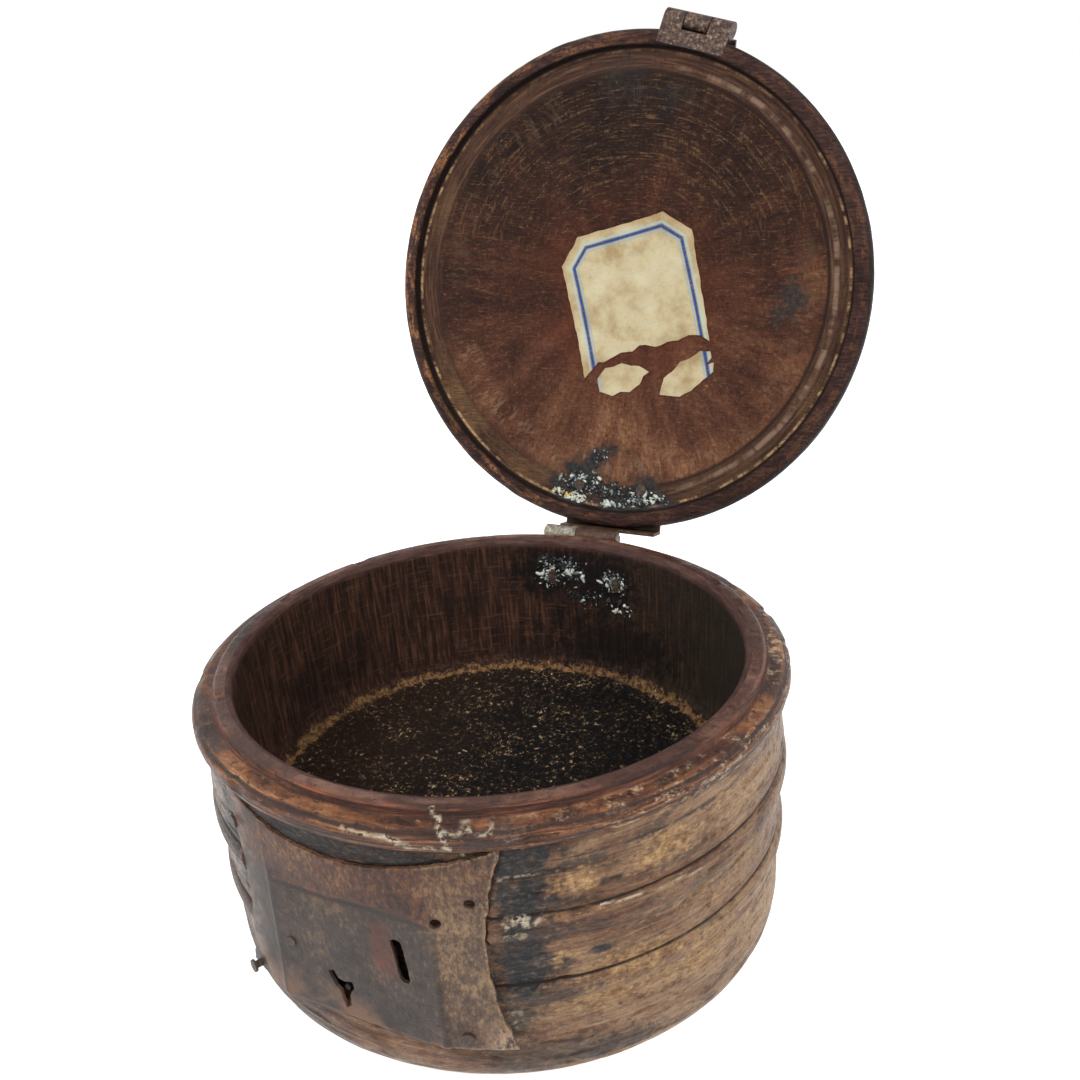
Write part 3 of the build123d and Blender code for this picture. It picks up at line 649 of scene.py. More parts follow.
# the drum
drum = {
    "segments": 900,
    "step": 0.42,
    "outside": 54.2,
    "wallTop": 57.4,
    "floorTop": 25.2,
    "rimFrom": 53.4,
    "rimInner": 54.5,
    "lipFrom": 56.8,
    "lipInner": 56.5,
    "seams": (23.85, 38.75, 53.15),
    "grooves": [(19.3, 0.28, 0.6), (27.3, 0.2, 0.5), (33.0, 0.35, 0.75), (37.6, 0.2, 0.5), (42.0, 0.2, 0.5),
                (49.4, 0.3, 0.7), (46.3, 0.15, 0.4), (11.2, 0.16, 0.4), (4.2, 0.5, 0.6)],
    "notchHalf": 16.4,
    "notchLow": 52.4,
    "notchRadius": 60.42,
    "profile": [
        (0, 0.15), (30, 0.1), (53.6, 0.0), (55.4, 0.5), (57.0, 1.9), (58.0, 3.9), (58.5, 7.0), (58.7, 12.0),
        (58.8, 18.3), (59.2, 19.0), (59.9, 19.9), (60.15, 21.2), (60.0, 22.6), (59.6, 23.5), (59.0, 23.85),
        (59.5, 24.3), (59.75, 26.0), (59.8, 32.6), (60.3, 33.4), (60.95, 34.3), (61.15, 35.8), (61.0, 37.4),
        (60.5, 38.4), (59.9, 38.75), (60.4, 39.3), (60.7, 40.6), (60.45, 44.0), (60.3, 50.0), (60.35, 52.7),
        (60.1, 53.15), (61.2, 53.4), (62.1, 54.0), (62.5, 55.1), (62.3, 56.2), (61.8, 56.9), (61.35, 56.95),
        (61.2, 57.25), (60.4, 57.55), (58.7, 57.55), (58.1, 57.6), (57.9, 58.1), (57.85, 58.9),
        (57.3, 59.5), (56.0, 59.6), (54.6, 59.5), (53.75, 58.8), (53.55, 57.4), (52.9, 45.0), (52.2, 31.0),
        (51.7, 28.0), (50.2, 25.7), (47.6, 24.55), (30, 24.5), (0, 24.5),
    ],
}


# the wood under the lock plate: cut back to its seat, its flat panel and the works' recess
def letIn(spot, azimuth, radius, height):
    inset = plateInset(spot.x, height)
    if inset > -0.45 and radius > plate["seat"]:
        pushed = plate["seat"] + (radius - plate["seat"]) * smooth(-0.1, -0.45, inset)
        spot = Vector(aroundZ(azimuth, pushed, height))
    if abs(spot.x) < plate["panelHalf"] + 0.3 and plateLow.z - 0.3 < height < plate["panelTop"] + 1.1:
        spot.y = max(spot.y, -plate["woodFlat"])
    if plate["worksLeft"] < spot.x < plate["worksRight"] and plate["worksLow"] < height < plate["worksHigh"]:
        spot.y = max(spot.y, -plate["worksBack"])
    return spot


def drumShape(azimuth, point, outward):
    radius, height = point
    if radius < 1 or height < 0.2:
        return aroundZ(azimuth, radius, height)
    x, y = math.sin(azimuth), -math.cos(azimuth)
    lift = 0.14 * streaks(x * 1.6, y * 1.6, height * 0.05)
    lift += 0.05 * streaks(x * 14, y * 14, height * 1.3, 4)
    if radius > drum["outside"] and height < drum["wallTop"]:
        lift += 0.07 * streaks(x * 3, y * 3, height * 2.6, 9)
        lift -= 0.30 * smooth(0.32, 0.6, streaks(x * 9, y * 9, height * 0.6, 21))
        lift -= 0.16 * smooth(0.42, 0.6, streaks(x * 2.5, y * 2.5, height * 2.2, 44))
    elif height < drum["floorTop"]:
        lift = 0.45 * streaks(x * radius * 0.5, y * radius * 0.5, 1.0, 3)
        lift += 0.3 * streaks(x * radius * 1.3, y * radius * 1.3, 1.0, 5)
    if height > drum["rimFrom"] and radius > drum["rimInner"]:
        lift -= 0.55 * smooth(0.3, 0.62, streaks(x * 12, y * 12, height * 0.25, 33))
        lift += 0.12 * streaks(x * 6, y * 6, height * 0.4, 14)
    # nothing stands up where the lid comes down
    if height > drum["lipFrom"] and radius > drum["lipInner"]:
        lift = min(lift, 0.0) * 0.5
    radius = min(radius + outward.x * lift, outermost)
    height = max(height + outward.y * lift, 0.0)
    spot = Vector(aroundZ(azimuth, radius, height))
    if radius > drum["rimInner"] and spot.y < 0 and height < drum["rimFrom"] + 0.2:
        spot = letIn(spot, azimuth, radius, height)
    atNotch = spot.y > 0 and abs(spot.x) < drum["notchHalf"] and height > drum["notchLow"]
    if atNotch and radius > drum["notchRadius"]:
        spot = Vector(aroundZ(azimuth, drum["notchRadius"], height))
    return spot


drumProfile = softened(evenly(drum["profile"], drum["step"]))
drumWood = spun("drumWood", drumProfile, drum["segments"], drumShape)
print("drum spun", len(drumWood.data.vertices))

# stains, rubs and scratches of the outside, by azimuth and height, with painted shade, painted shadow gaps,
# painted glints and painted reflections among them
drumMarks = {
    "dark": [
        blot(31.5, 50.0, 6.5, 3.5, 1.0, 1), blot(32.0, 42.0, 6.0, 5.5, 1.0, 2),
        blot(31.5, 28.0, 6.8, 11.0, 1.0, 3, ragged=0.4), blot(29.5, 15.0, 3.5, 6.0, 0.7, 31),
        blot(38.0, 47.5, 9, 1.2, 0.8, 4, lean=0.05), blot(38.0, 35.0, 7, 1.6, 0.6, 5),
        # the wide blot at -4 degrees and 50.6 mm is painted shade under the rim's overhang
        blot(-4.0, 50.6, 34, 3.4, 0.92, 6, ragged=0.3), blot(44.9, 28.8, 2.2, 0.9, 0.95, 7),
        blot(0.0, 54.0, 20, 0.8, 0.6, 61, ragged=0.6), blot(48.0, 56.9, 20, 0.4, 0.6, 62, ragged=0.6),
        blot(46.7, 42.8, 2.4, 0.9, 0.8, 8), blot(42.0, 6.0, 16, 3.4, 0.7, 9),
        blot(-30.0, 38.0, 3, 14, 0.8, 10), blot(60.0, 41.5, 8, 0.8, 0.5, 17),
        blot(36.0, 21.0, 6, 2.2, 0.7, 63), blot(38.0, 40.5, 7, 1.2, 0.75, 64),
        blot(34.0, 6.5, 14, 3.5, 0.7, 65), blot(120, 30, 16, 9, 0.6, 18), blot(165, 45, 22, 8, 0.8, 19),
        blot(-150, 22, 18, 9, 0.6, 20), blot(-95, 34, 18, 8, 0.55, 28), blot(-70, 12, 15, 6, 0.5, 29),
        blot(200, 14, 22, 6, 0.5, 30),
    ],
    "tan": [
        blot(58.3, 45.2, 8, 3.6, 1.0, 11), blot(41.6, 44.2, 4.5, 2.6, 0.9, 12),
        blot(37.1, 28.9, 3.5, 2.0, 0.8, 13), blot(51.0, 24.6, 9, 3.0, 0.8, 14),
        blot(43.3, 18.5, 7, 3.5, 0.8, 15), blot(63.6, 17.8, 12, 5, 0.8, 21),
        blot(75.5, 30.0, 14, 4, 0.6, 22), blot(78.0, 47.0, 12, 4, 0.7, 23), blot(95, 12, 18, 6, 0.7, 24),
        blot(110, 46, 16, 5, 0.6, 25), blot(-50, 28, 12, 4, 0.5, 26), blot(-120, 45, 18, 5, 0.6, 27),
        blot(140, 14, 14, 5, 0.5, 36), blot(-165, 34, 16, 4, 0.5, 37),
    ],
    "cream": [
        crookedLine([(18.0, 59.6), (19.2, 58.2), (20.0, 57.2), (20.8, 55.2), (22.4, 53.2), (22.9, 51.2)], 0.36,
                0.95, 0.9, 1),
        crookedLine([(13.0, 55.4), (17.0, 55.0), (20.4, 54.2)], 0.26, 0.8, 0.9, 2),
        crookedLine([(20.4, 57.6), (23.0, 57.0), (28.5, 57.3)], 0.22, 0.8, 0.9, 3),
        crookedLine([(3.5, 56.6), (8.0, 56.4), (14.0, 56.1)], 0.3, 1.0, 0.4, 4),
        crookedLine([(44.6, 38.4), (54.0, 37.9), (64.5, 37.3)], 0.15, 1.0, 0.1, 5),
        # the two lines along the rim's top, from 64 to 88 degrees, are painted glints
        crookedLine([(64.5, 55.8), (69.0, 55.4), (74.0, 56.0)], 0.34, 0.9, 0.5, 6),
        crookedLine([(70.0, 54.6), (78.0, 54.4), (88.0, 54.6)], 0.18, 0.8, 0.4, 7),
        blot(31.0, 38.2, 2.4, 0.7, 0.8, 24, ragged=1.1), blot(33.0, 46.9, 3.4, 0.35, 0.8, 25, ragged=0.9),
        blot(30.8, 35.4, 1.6, 0.4, 0.6, 28, ragged=1.1), blot(28.5, 15.2, 1.0, 2.0, 0.5, 29, ragged=1.2),
    ],
    # painted reflections: three light facets on the bulges left of the lock plate
    "pale": [
        blot(-37.0, 46.0, 6.0, 4.2, 0.9, 81, ragged=0.35), blot(-35.0, 31.0, 5.5, 4.6, 0.9, 82, ragged=0.35),
        blot(-33.0, 16.5, 5.0, 4.2, 0.8, 83, ragged=0.35),
    ],
    "soot": [
        blot(-170, 51.0, 13, 6.5, 1.0, 71, ragged=0.4, radii=(50, 57)),
        blot(176, 49.5, 13, 8.5, 1.0, 72, ragged=0.4, radii=(50, 57)),
        blot(172, 34.0, 22, 9.0, 0.85, 73, ragged=0.5, radii=(50, 57)),
    ],
    "cracksAndShadowGaps": [
        # the first two lines are painted shadow gaps along the lock plate's top edge
        crookedLine([(6.2, 48.9), (13.0, 49.5), (19.7, 50.9)], 0.42, 1.0, 0.3, 8),
        crookedLine([(22.5, 51.9), (26.0, 52.6)], 0.45, 1.0, 0.3, 9),
        crookedLine([(28.6, 45.2), (31.0, 45.6), (34.0, 45.5)], 0.22, 0.9, 0.3, 10),
        crookedLine([(28.2, 37.0), (32.0, 36.6), (38.0, 36.9)], 0.28, 0.9, 0.4, 11),
        crookedLine([(30.5, 11.6), (35.0, 9.4), (42.0, 8.9)], 0.25, 0.9, 0.6, 12),
        crookedLine([(-30.0, 52.2), (-20.0, 51.4), (-8.0, 50.9)], 0.3, 0.85, 0.5, 13),
        crookedLine([(50.0, 49.2), (66.0, 49.0), (84.0, 49.5)], 0.14, 0.8, 0.4, 14),
        crookedLine([(46.0, 31.5), (60.0, 31.6), (78.0, 31.2)], 0.12, 0.7, 0.4, 15),
    ],
}
paintMarks(drumWood, drumMarks)
print("drum marked")


def drumMaterial():
    material = newMaterial("oldTurnedWood")
    at = turnedPlace()
    place, z, radius = at["place"], at["z"], at["radius"]
    lines = cloud(place, (0.025, 0.025, 2.1), 7, 0.66)
    broad = cloud(place, (0.035, 0.035, 0.42), 5, 0.6, 0.3)
    patches = cloud(place, (0.06, 0.06, 0.16), 6, 0.62, 0.5)
    specks = cloud(place, (0.75, 0.75, 1.5), 6, 0.75)
    grime = cloud(place, (0.2, 0.2, 0.6), 7, 0.7, 0.3)
    cloudy = cloud(place, (0.11, 0.11, 0.22), 6, 0.6, 0.6)
    # paler towards the right and the foot, darker behind and to the left
    paler = scaled(at["x"], 0.0028, scaled(z, -0.0022, 0.02))
    mixed = plus(times(broad, 0.45), plus(times(patches, 0.55), paler))
    brown = ramp(mixed, [(0.36, (50, 30, 22)), (0.46, (88, 57, 40)), (0.56, (126, 91, 65)),
                         (0.7, (164, 132, 100))])
    # painted reflections on the bulges left of the lock plate, from the pale marks
    brown = blend(times(mark("pale"), ranged(grime, 0.36, 0.56, 0.15, 0.7)), brown, (190, 172, 158))
    brown = coats(brown, (grime, 0.5, 0.62, 0.7, (86, 50, 34)), (cloudy, 0.52, 0.66, 0.6, (62, 42, 34)),
                  (lines, 0.55, 0.66, 0.55, (44, 29, 24)), (lines, 0.45, 0.34, 0.4, (184, 156, 122)),
                  (specks, 0.55, 0.68, 0.65, (180, 150, 114)), (specks, 0.46, 0.34, 0.75, (54, 37, 29)))
    tan = ramp(specks, [(0.36, (112, 76, 48)), (0.5, (172, 134, 90)), (0.64, (206, 174, 122))])
    brown = blend(times(mark("tan"), ranged(grime, 0.38, 0.58, 0.35, 0.95)), brown, tan)
    # dark stains, and the painted shade under the rim's overhang, from the dark marks
    soot = ramp(specks, [(0.38, (10, 9, 11)), (0.5, (27, 25, 27)), (0.66, (80, 76, 70))])
    stainsAndRimShade = times(mark("dark"), ranged(grime, 0.34, 0.5, 0.75, 1.0))
    brown = blend(stainsAndRimShade, brown, soot)
    for height in drum["seams"]:
        seam = times(nearLine(z, height, 0.42), ranged(grime, 0.36, 0.5, 0.6, 0.95))
        brown = blend(seam, brown, (20, 14, 13))
    # cracks, and the painted shadow gaps along the lock plate's top edge
    brown = blend(mark("cracksAndShadowGaps"), brown, (8, 6, 6))
    for height, half, strength in drum["grooves"]:
        wavy = scaled(broad, 1.6, z)
        groove = times(nearLine(wavy, height + 0.8, half), ranged(grime, 0.4, 0.55), strength)
        brown = blend(groove, brown, (34, 24, 22))
    # rim roll: redder, rubbed in streaks
    rub = cloud(place, (0.06, 0.06, 1.5), 7, 0.68, 0.2)
    rim = ramp(rub, [(0.34, (30, 19, 16)), (0.45, (70, 43, 31)), (0.54, (116, 72, 45)),
                     (0.62, (150, 104, 70)), (0.72, (204, 180, 148))])
    rim = coats(rim, (specks, 0.47, 0.36, 0.85, (32, 20, 18)), (specks, 0.58, 0.68, 0.5, (178, 142, 104)),
                (patches, 0.5, 0.66, 0.7, (62, 47, 46)))
    onRim = times(ranged(z, 53.2, 53.7), ranged(radius, 56.5, 57.5))
    colour = blend(onRim, brown, rim)
    glint = times(ranged(at["x"], 24, 50), ranged(grime, 0.5, 0.6), ranged(specks, 0.44, 0.56), 0.65)
    colour = blend(times(glint, onRim), colour, (206, 180, 150))
    for height in (55.0, 56.95):
        line = times(nearLine(z, height, 0.35), onRim, ranged(rub, 0.35, 0.6, 0.3, 0.9))
        colour = blend(line, colour, (30, 22, 22))
    # lip: purplish brown, its outer edge rubbed orange
    lip = ramp(rub, [(0.34, (38, 21, 16)), (0.5, (76, 47, 36)), (0.64, (118, 84, 68))])
    lip = blend(ranged(specks, 0.48, 0.36, 0, 0.7), lip, (34, 19, 17))
    onLip = times(ranged(z, 57.6, 58.0), ranged(radius, 58.7, 58.3))
    colour = blend(onLip, colour, lip)
    orange = times(onLip, nearLine(radius, 57.8, 0.9), ranged(rub, 0.46, 0.6), ranged(grime, 0.42, 0.56),
                   ranged(at["x"], 45, 5, 0.3, 0.75))
    colour = blend(orange, colour, (150, 78, 48))
    # cream flakes and scratches, and the painted glints along the rim's top, from the cream marks
    flakesAndGlints = times(mark("cream"), ranged(specks, 0.42, 0.52), 0.9)
    colour = blend(flakesAndGlints, colour, ramp(grime, [(0.35, (150, 128, 98)), (0.6, (216, 206, 182))]))
    rough = ranged(grime, 0.32, 0.68, 0.24, 0.5)
    height = scaled(lines, 0.8, specks)
    surface(colour, rough, height, 0.6, specular=0.26)
    return material


def insideMaterial():
    material = newMaterial("darkInside")
    at = turnedPlace()
    place, z, radius = at["place"], at["z"], at["radius"]
    grain = cloud(place, (1.3, 1.3, 0.07), 6, 0.66)
    weave = cloud(place, (0.15, 0.15, 1.6), 5, 0.7)
    blotches = cloud(place, (0.07, 0.07, 0.08), 5, 0.6)
    crumbsOnWall = cloud(place, (1.2, 1.2, 1.0), 6, 0.8)
    wall = ramp(grain, [(0.34, (20, 11, 8)), (0.5, (48, 29, 21)), (0.64, (82, 55, 41))])
    wall = coats(wall, (weave, 0.54, 0.7, 0.5, (104, 74, 56)), (blotches, 0.46, 0.66, 0.6, (24, 14, 11)),
                 (crumbsOnWall, 0.6, 0.7, 0.5, (128, 100, 78)))
    side = ranged(at["x"], -10, 45, 0.0, 0.8)
    wall = blend(side, wall, blend(grain, (14, 12, 9), (54, 47, 37)))
    wall = blend(times(mark("soot"), 0.9), wall, (8, 7, 8))
    crumbs = cloud(place, 0.85, 6, 0.85)
    dust = cloud(place, (0.22, 0.22, 0.3), 6, 0.75, 0.4)
    spread = scaled(blotches, 0.22, minus(crumbs, 0.13))
    ground = ramp(spread, [(0.44, (4, 3, 3)), (0.52, (17, 12, 9)), (0.58, (72, 51, 36)),
                           (0.63, (226, 198, 152))])
    ground = blend(times(ranged(at["x"], 0, -40, 0, 0.6), dust), ground, (58, 37, 25))
    colour = blend(ranged(z, 27.5, 26.0), wall, ground)
    foot = scaled(dust, 5.0, radius)
    fuzz = times(nearLine(foot, 52.6, 1.0), ranged(z, 29, 27), ranged(crumbs, 0.42, 0.56, 0.1, 0.9))
    colour = blend(fuzz, colour, (132, 98, 64))
    lipEdge = times(ranged(z, 57.0, 58.6), 0.85)
    colour = blend(lipEdge, colour, ramp(weave, [(0.3, (50, 32, 30)), (0.7, (104, 76, 70))]))
    height = scaled(grain, 0.8, crumbs)
    surface(colour, 0.72, height, 0.4, specular=0.14)
    return material


def insideFaces(piece, profile, segments):
    top = max(range(len(profile)), key=lambda k: profile[k].y - 0.05 * profile[k].x)
    inner = [1 if k > top else 0 for k in range(len(profile) - 1)]
    piece.data.polygons.foreach_set("material_index", inner * segments)


drumWood.data.materials.append(drumMaterial())
drumWood.data.materials.append(insideMaterial())
insideFaces(drumWood, drumProfile, drum["segments"])
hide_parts("body")
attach(drumWood, "drum")
print("drum finished")


# the lid
lid = {
    "segments": 900,
    "step": 0.45,
    "band": 60.4,
    "dishRadius": 52.4,
    "dishTop": 68.4,
    "crown": 75.95,
    "edgeTop": 62.35,
    "edgeRadius": 60.3,
    "grooves": (24.0, 38.0, 54.5),
}


# height on the ball through the top of a dome and its edge
def ballHeight(radius, top, edgeRadius, edgeHeight):
    rise = top - edgeHeight
    ball = (edgeRadius ** 2 + rise ** 2) / (2 * rise)
    return top - ball + math.sqrt(ball ** 2 - radius ** 2)


def dishHeight(radius):
    return ballHeight(radius, lid["dishTop"], lid["dishRadius"], lid["band"] + 0.4)


def domeHeight(radius):
    return ballHeight(radius, lid["crown"], lid["edgeRadius"], lid["edgeTop"])


# halfway between the dish and the dome
def midHeight(radius):
    return (dishHeight(min(radius, 52)) + domeHeight(min(radius, 60))) / 2


def ballRun(start, end, heightAt):
    steps = 26
    radii = [start + (end - start) * i / steps for i in range(steps + 1)]
    return [(radius, heightAt(radius)) for radius in radii]


lidPath = ballRun(0, 52.1, dishHeight)
lidPath += [
    (52.5, 60.5), (53.4, 60.45), (57.4, 60.3), (57.9, 60.1), (58.2, 59.7), (58.25, 58.5), (58.45, 57.95),
    (59.2, 57.85), (60.9, 57.9), (61.8, 58.4), (62.35, 59.3), (62.5, 60.2), (62.35, 61.2), (61.8, 62.05),
    (61.0, 62.4),
]
lidPath += ballRun(60.3, 0, domeHeight)


def lidShape(azimuth, point, outward):
    radius, height = point
    x, y = math.sin(azimuth), -math.cos(azimuth)
    lift = 0.0
    if radius > 0.5:
        lift = 0.12 * streaks(x * radius * 0.03, y * radius * 0.03, height * 0.1, 2)
        lift += 0.05 * streaks(x * radius * 0.3, y * radius * 0.3, height * 0.3, 6)
    if height > 62 and radius < 60.6 and height > midHeight(radius):
        for groove in lid["grooves"]:
            lift -= 0.45 * smooth(0.7, 0.1, abs(radius - groove))
    elif radius < 52:
        lift -= 0.10 * streaks(x * 30, y * 30, radius * 0.12, 8) * smooth(4, 30, radius)
    elif radius > 61.4:
        lift -= 0.25 * smooth(0.3, 0.7, streaks(x * 5, y * 5, height * 0.3, 12))
    elif radius > 52:
        lift *= 0.15
    place = Vector(aroundZ(azimuth, min(radius - outward.x * lift, outermost), height - outward.y * lift))
    return lidOpen @ (place * mm) / mm


lidWood = spun("lidWood", softened(evenly(lidPath, lid["step"])), lid["segments"], lidShape)
lidWood.data.flip_normals()
print("lid spun", len(lidWood.data.vertices))


def onDomeSide(azimuth, radius, z):
    if radius > 61.2:
        return smooth(61.2, 62.3, z)
    return 1.0 if z > max(midHeight(radius), 61.6) else 0.0


# a cloudy stain on the lid's inner side, round a spot (x, y)
def patch(x0, y0, size, strength, seed):
    def amount(azimuth, radius, z):
        x = radius * math.sin(math.radians(azimuth)) - x0
        y = -radius * math.cos(math.radians(azimuth)) - y0
        if radius > 58.2 or abs(x) + abs(y) > 3.4 * size or onDomeSide(azimuth, radius, z) > 0:
            return 0.0
        ragged = 0.55 * streaks(x * 0.3, y * 0.3, 0, seed) + 0.5 * streaks(x * 0.9, y * 0.9, 2, seed)
        return strength * smooth(1.25, 0.35, math.hypot(x, y) / size + ragged)
    return amount


lidMarks = {
    "dome": [onDomeSide],
    "soot": [
        patch(-8.5, 51.0, 6.5, 1.0, 41), patch(-5.0, 46.0, 4.0, 0.95, 42), patch(-13.0, 53.5, 4.5, 0.9, 43),
        patch(8.5, 53.0, 5.5, 0.9, 44), patch(1.0, 56.0, 6.0, 0.95, 45), patch(-1.0, 42.6, 2.2, 0.8, 46),
        patch(43.5, 3.7, 4.4, 0.8, 47), patch(40.0, 7.5, 3.0, 0.6, 48), patch(14.0, 55.0, 3.5, 0.8, 49),
        patch(0.0, -50.0, 7.0, 0.35, 50), patch(12.0, -46.0, 5.0, 0.3, 51),
    ],
}
paintMarks(lidWood, lidMarks, lidShut)
print("lid marked")


def lidMaterial():
    material = newMaterial("dishedLidWood")
    at = turnedPlace(onLid=True)
    place, x, y, z, radius = at["place"], at["x"], at["y"], at["z"], at["radius"]
    rays = radialCloud(at, 13, 0.05)
    facets = radialCloud(at, 6, 0.07, 1, 0.4)
    ticks = radialCloud(at, 40, 0.24, 4)
    rings = radialCloud(at, 5, 1.5, 5, 0.65)
    grain = cloud(place, (0.35, 2.0, 0.6), 7, 0.75)
    cross = cloud(place, (1.9, 0.4, 0.6), 7, 0.75)
    patches = cloud(place, (0.045, 0.045, 0.045), 5, 0.6, 0.3)
    specks = cloud(place, 1.0, 7, 0.8)
    # painted light and shade: lighter towards the hinge and the left, darkest at the far side; patches,
    # facets and specks add uneven tone
    paintedLightAndTone = scaled(y, 0.0062, scaled(x, 0.0016, 0.38))
    for part, strength in ((patches, 0.9), (facets, 0.42), (specks, 1.05)):
        paintedLightAndTone = plus(paintedLightAndTone, scaled(part, strength, -0.5 * strength))
    fading = times(minus(rays, 0.5), ranged(radius, 14, 40, 0.1, 0.55))
    shade = plus(paintedLightAndTone, fading)
    dish = ramp(shade, [(0.0, (26, 14, 11)), (0.25, (48, 27, 20)), (0.5, (80, 48, 35)),
                        (0.72, (106, 69, 49)), (0.95, (146, 106, 78))])
    dish = coats(dish, (grain, 0.54, 0.68, 0.6, (132, 96, 68)), (cross, 0.46, 0.34, 0.7, (34, 18, 14)))
    chatter = times(ranged(ticks, 0.5, 0.6), ranged(radius, 24, 44), ranged(y, 30, -20, 0.3, 0.8))
    dish = blend(chatter, dish, (34, 19, 15))
    weave = times(ranged(rings, 0.53, 0.62), ranged(y, 5, -30), ranged(cross, 0.42, 0.56), 0.75)
    dish = blend(weave, dish, (112, 84, 56))
    dish = blend(ranged(specks, 0.6, 0.7, 0, 0.65), dish, (164, 132, 100))
    red = times(ranged(radius, 36, 12), ranged(y, -30, 10, 0.35, 0.9), ranged(patches, 0.36, 0.58))
    dish = blend(times(red, 0.6), dish, (84, 34, 20))
    # the flat band round the dish
    ring = ramp(rings, [(0.3, (40, 26, 22)), (0.5, (70, 47, 37)), (0.68, (104, 76, 56))])
    ochre = times(ranged(patches, 0.46, 0.62), ranged(y, -35, 10, 0.1, 0.75), ranged(x, 10, -30, 0.3, 1))
    ring = blend(ochre, ring, ramp(grain, [(0.35, (62, 42, 30)), (0.65, (136, 104, 72))]))
    ring = blend(ranged(cross, 0.45, 0.35, 0, 0.7), ring, (30, 19, 16))
    colour = blend(ranged(radius, 51.0, 53.4), dish, ring)
    colour = blend(times(nearLine(radius, 52.3, 0.7), ranged(x, -20, 20, 0.35, 0.85)), colour, (40, 25, 22))
    gleam = scaled(patches, 2.2, radius)
    gleam = times(nearLine(gleam, 55.4, 0.9), ranged(x, 0, 35, 0, 0.7), ranged(rays, 0.4, 0.58))
    colour = blend(gleam, colour, (148, 122, 104))
    tally = times(ranged(ticks, 0.52, 0.6), nearLine(radius, 47.5, 4.5), ranged(y, -10, 30, 0.1, 0.32),
                  ranged(patches, 0.4, 0.55))
    colour = blend(tally, colour, (170, 138, 108))
    # painted highlight: a thin bright line at the band's outer edge by the recess wall
    edgeHighlight = times(nearLine(radius, 57.35, 0.5), ranged(rays, 0.44, 0.58), ranged(specks, 0.4, 0.5),
                   ranged(y, -48, -25, 0.3, 0.9))
    colour = blend(edgeHighlight, colour, (184, 150, 110))
    # recess wall and the rim's face
    face = ramp(grain, [(0.35, (30, 18, 17)), (0.5, (56, 35, 31)), (0.66, (86, 60, 52))])
    scuffs = radialCloud(at, 9, 0.5, 4)
    worn = times(ranged(x, 5, -40, 0.25, 1.0), ranged(scuffs, 0.48, 0.58), ranged(specks, 0.42, 0.52))
    face = blend(worn, face, ramp(rings, [(0.3, (96, 58, 36)), (0.7, (168, 116, 76))]))
    face = blend(times(ranged(specks, 0.6, 0.7), 0.7), face, (140, 110, 90))
    face = blend(ranged(patches, 0.5, 0.62, 0, 0.7), face, (26, 16, 15))
    colour = blend(ranged(radius, 58.1, 58.5), colour, face)
    colour = blend(times(nearLine(radius, 58.1, 0.62), 0.92), colour, (16, 10, 10))
    colour = blend(times(ranged(radius, 61.5, 62.3), 0.85), colour, (22, 13, 12))
    back = ramp(radialCloud(at, 1.5, 1.3),
                [(0.3, (70, 46, 36)), (0.5, (112, 80, 60)), (0.7, (150, 118, 90))])
    back = coats(back, (patches, 0.4, 0.65, 0.65, (98, 66, 48)), (specks, 0.6, 0.74, 0.6, (172, 144, 112)))
    for groove in lid["grooves"]:
        back = blend(times(nearLine(radius, groove, 1.0), 0.8), back, (34, 24, 20))
    colour = blend(mark("dome"), colour, back)
    soot = ramp(specks, [(0.35, (22, 24, 27)), (0.6, (54, 56, 56)), (0.75, (104, 100, 92))])
    colour = blend(mark("soot"), colour, soot)
    rough = ranged(patches, 0.3, 0.7, 0.36, 0.5)
    height = scaled(ticks, 0.6, scaled(grain, 0.9, specks))
    surface(colour, rough, height, 0.5, specular=0.12)
    return material


lidWood.data.materials.append(lidMaterial())
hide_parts("lid")
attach(lidWood, "lid")
print("lid finished")


# the paper label, torn across its lower part; u runs right and v down the shut lid
paper = {
    "centre": (3.4, 7.6),
    "turn": -15.0,
    "half": (18.25, 23.3),
    "clip": 6.3,
    "lift": 0.1,
    "thick": 0.12,
    "step": 1.3,
    "border": [(2.2, 0.5, (150, 176, 176), 0.6), (4.2, 0.45, (118, 150, 160), 0.55),
               (3.2, 0.75, (16, 56, 116), 0.97)],
    "main": [(-18.25, -17.0), (-12.0, -23.3), (12.0, -23.3), (18.25, -17.0), (17.3, -2.0), (16.8, 11.3),
             (15.0, 9.6), (13.4, 9.0), (11.5, 8.6), (8.6, 9.3), (5.9, 9.0), (2.3, 9.5), (-0.2, 8.4),
             (-1.6, 8.1), (-4.1, 9.3), (-6.8, 8.7), (-9.8, 9.6), (-12.2, 10.2), (-13.7, 9.9), (-15.2, 11.2),
             (-16.4, 12.0), (-18.0, 13.2)],
    "leftScrap": [(-14.8, 14.4), (-13.0, 12.6), (-11.9, 11.8), (-9.6, 12.1), (-7.4, 11.6), (-5.0, 12.9),
                  (-2.7, 13.4), (-0.5, 15.4), (-2.2, 16.2), (-3.5, 17.9), (-6.4, 19.4), (-9.0, 18.8),
                  (-11.5, 19.4), (-14.6, 17.6)],
    "rightScrap": [(1.4, 21.8), (3.2, 17.8), (5.8, 16.6), (8.2, 14.7), (11.0, 14.4), (13.8, 13.4),
                   (16.7, 13.8), (16.6, 15.6), (14.9, 17.0), (17.0, 16.7), (16.3, 19.1), (13.4, 20.5),
                   (10.1, 22.4), (6.6, 23.3)],
}


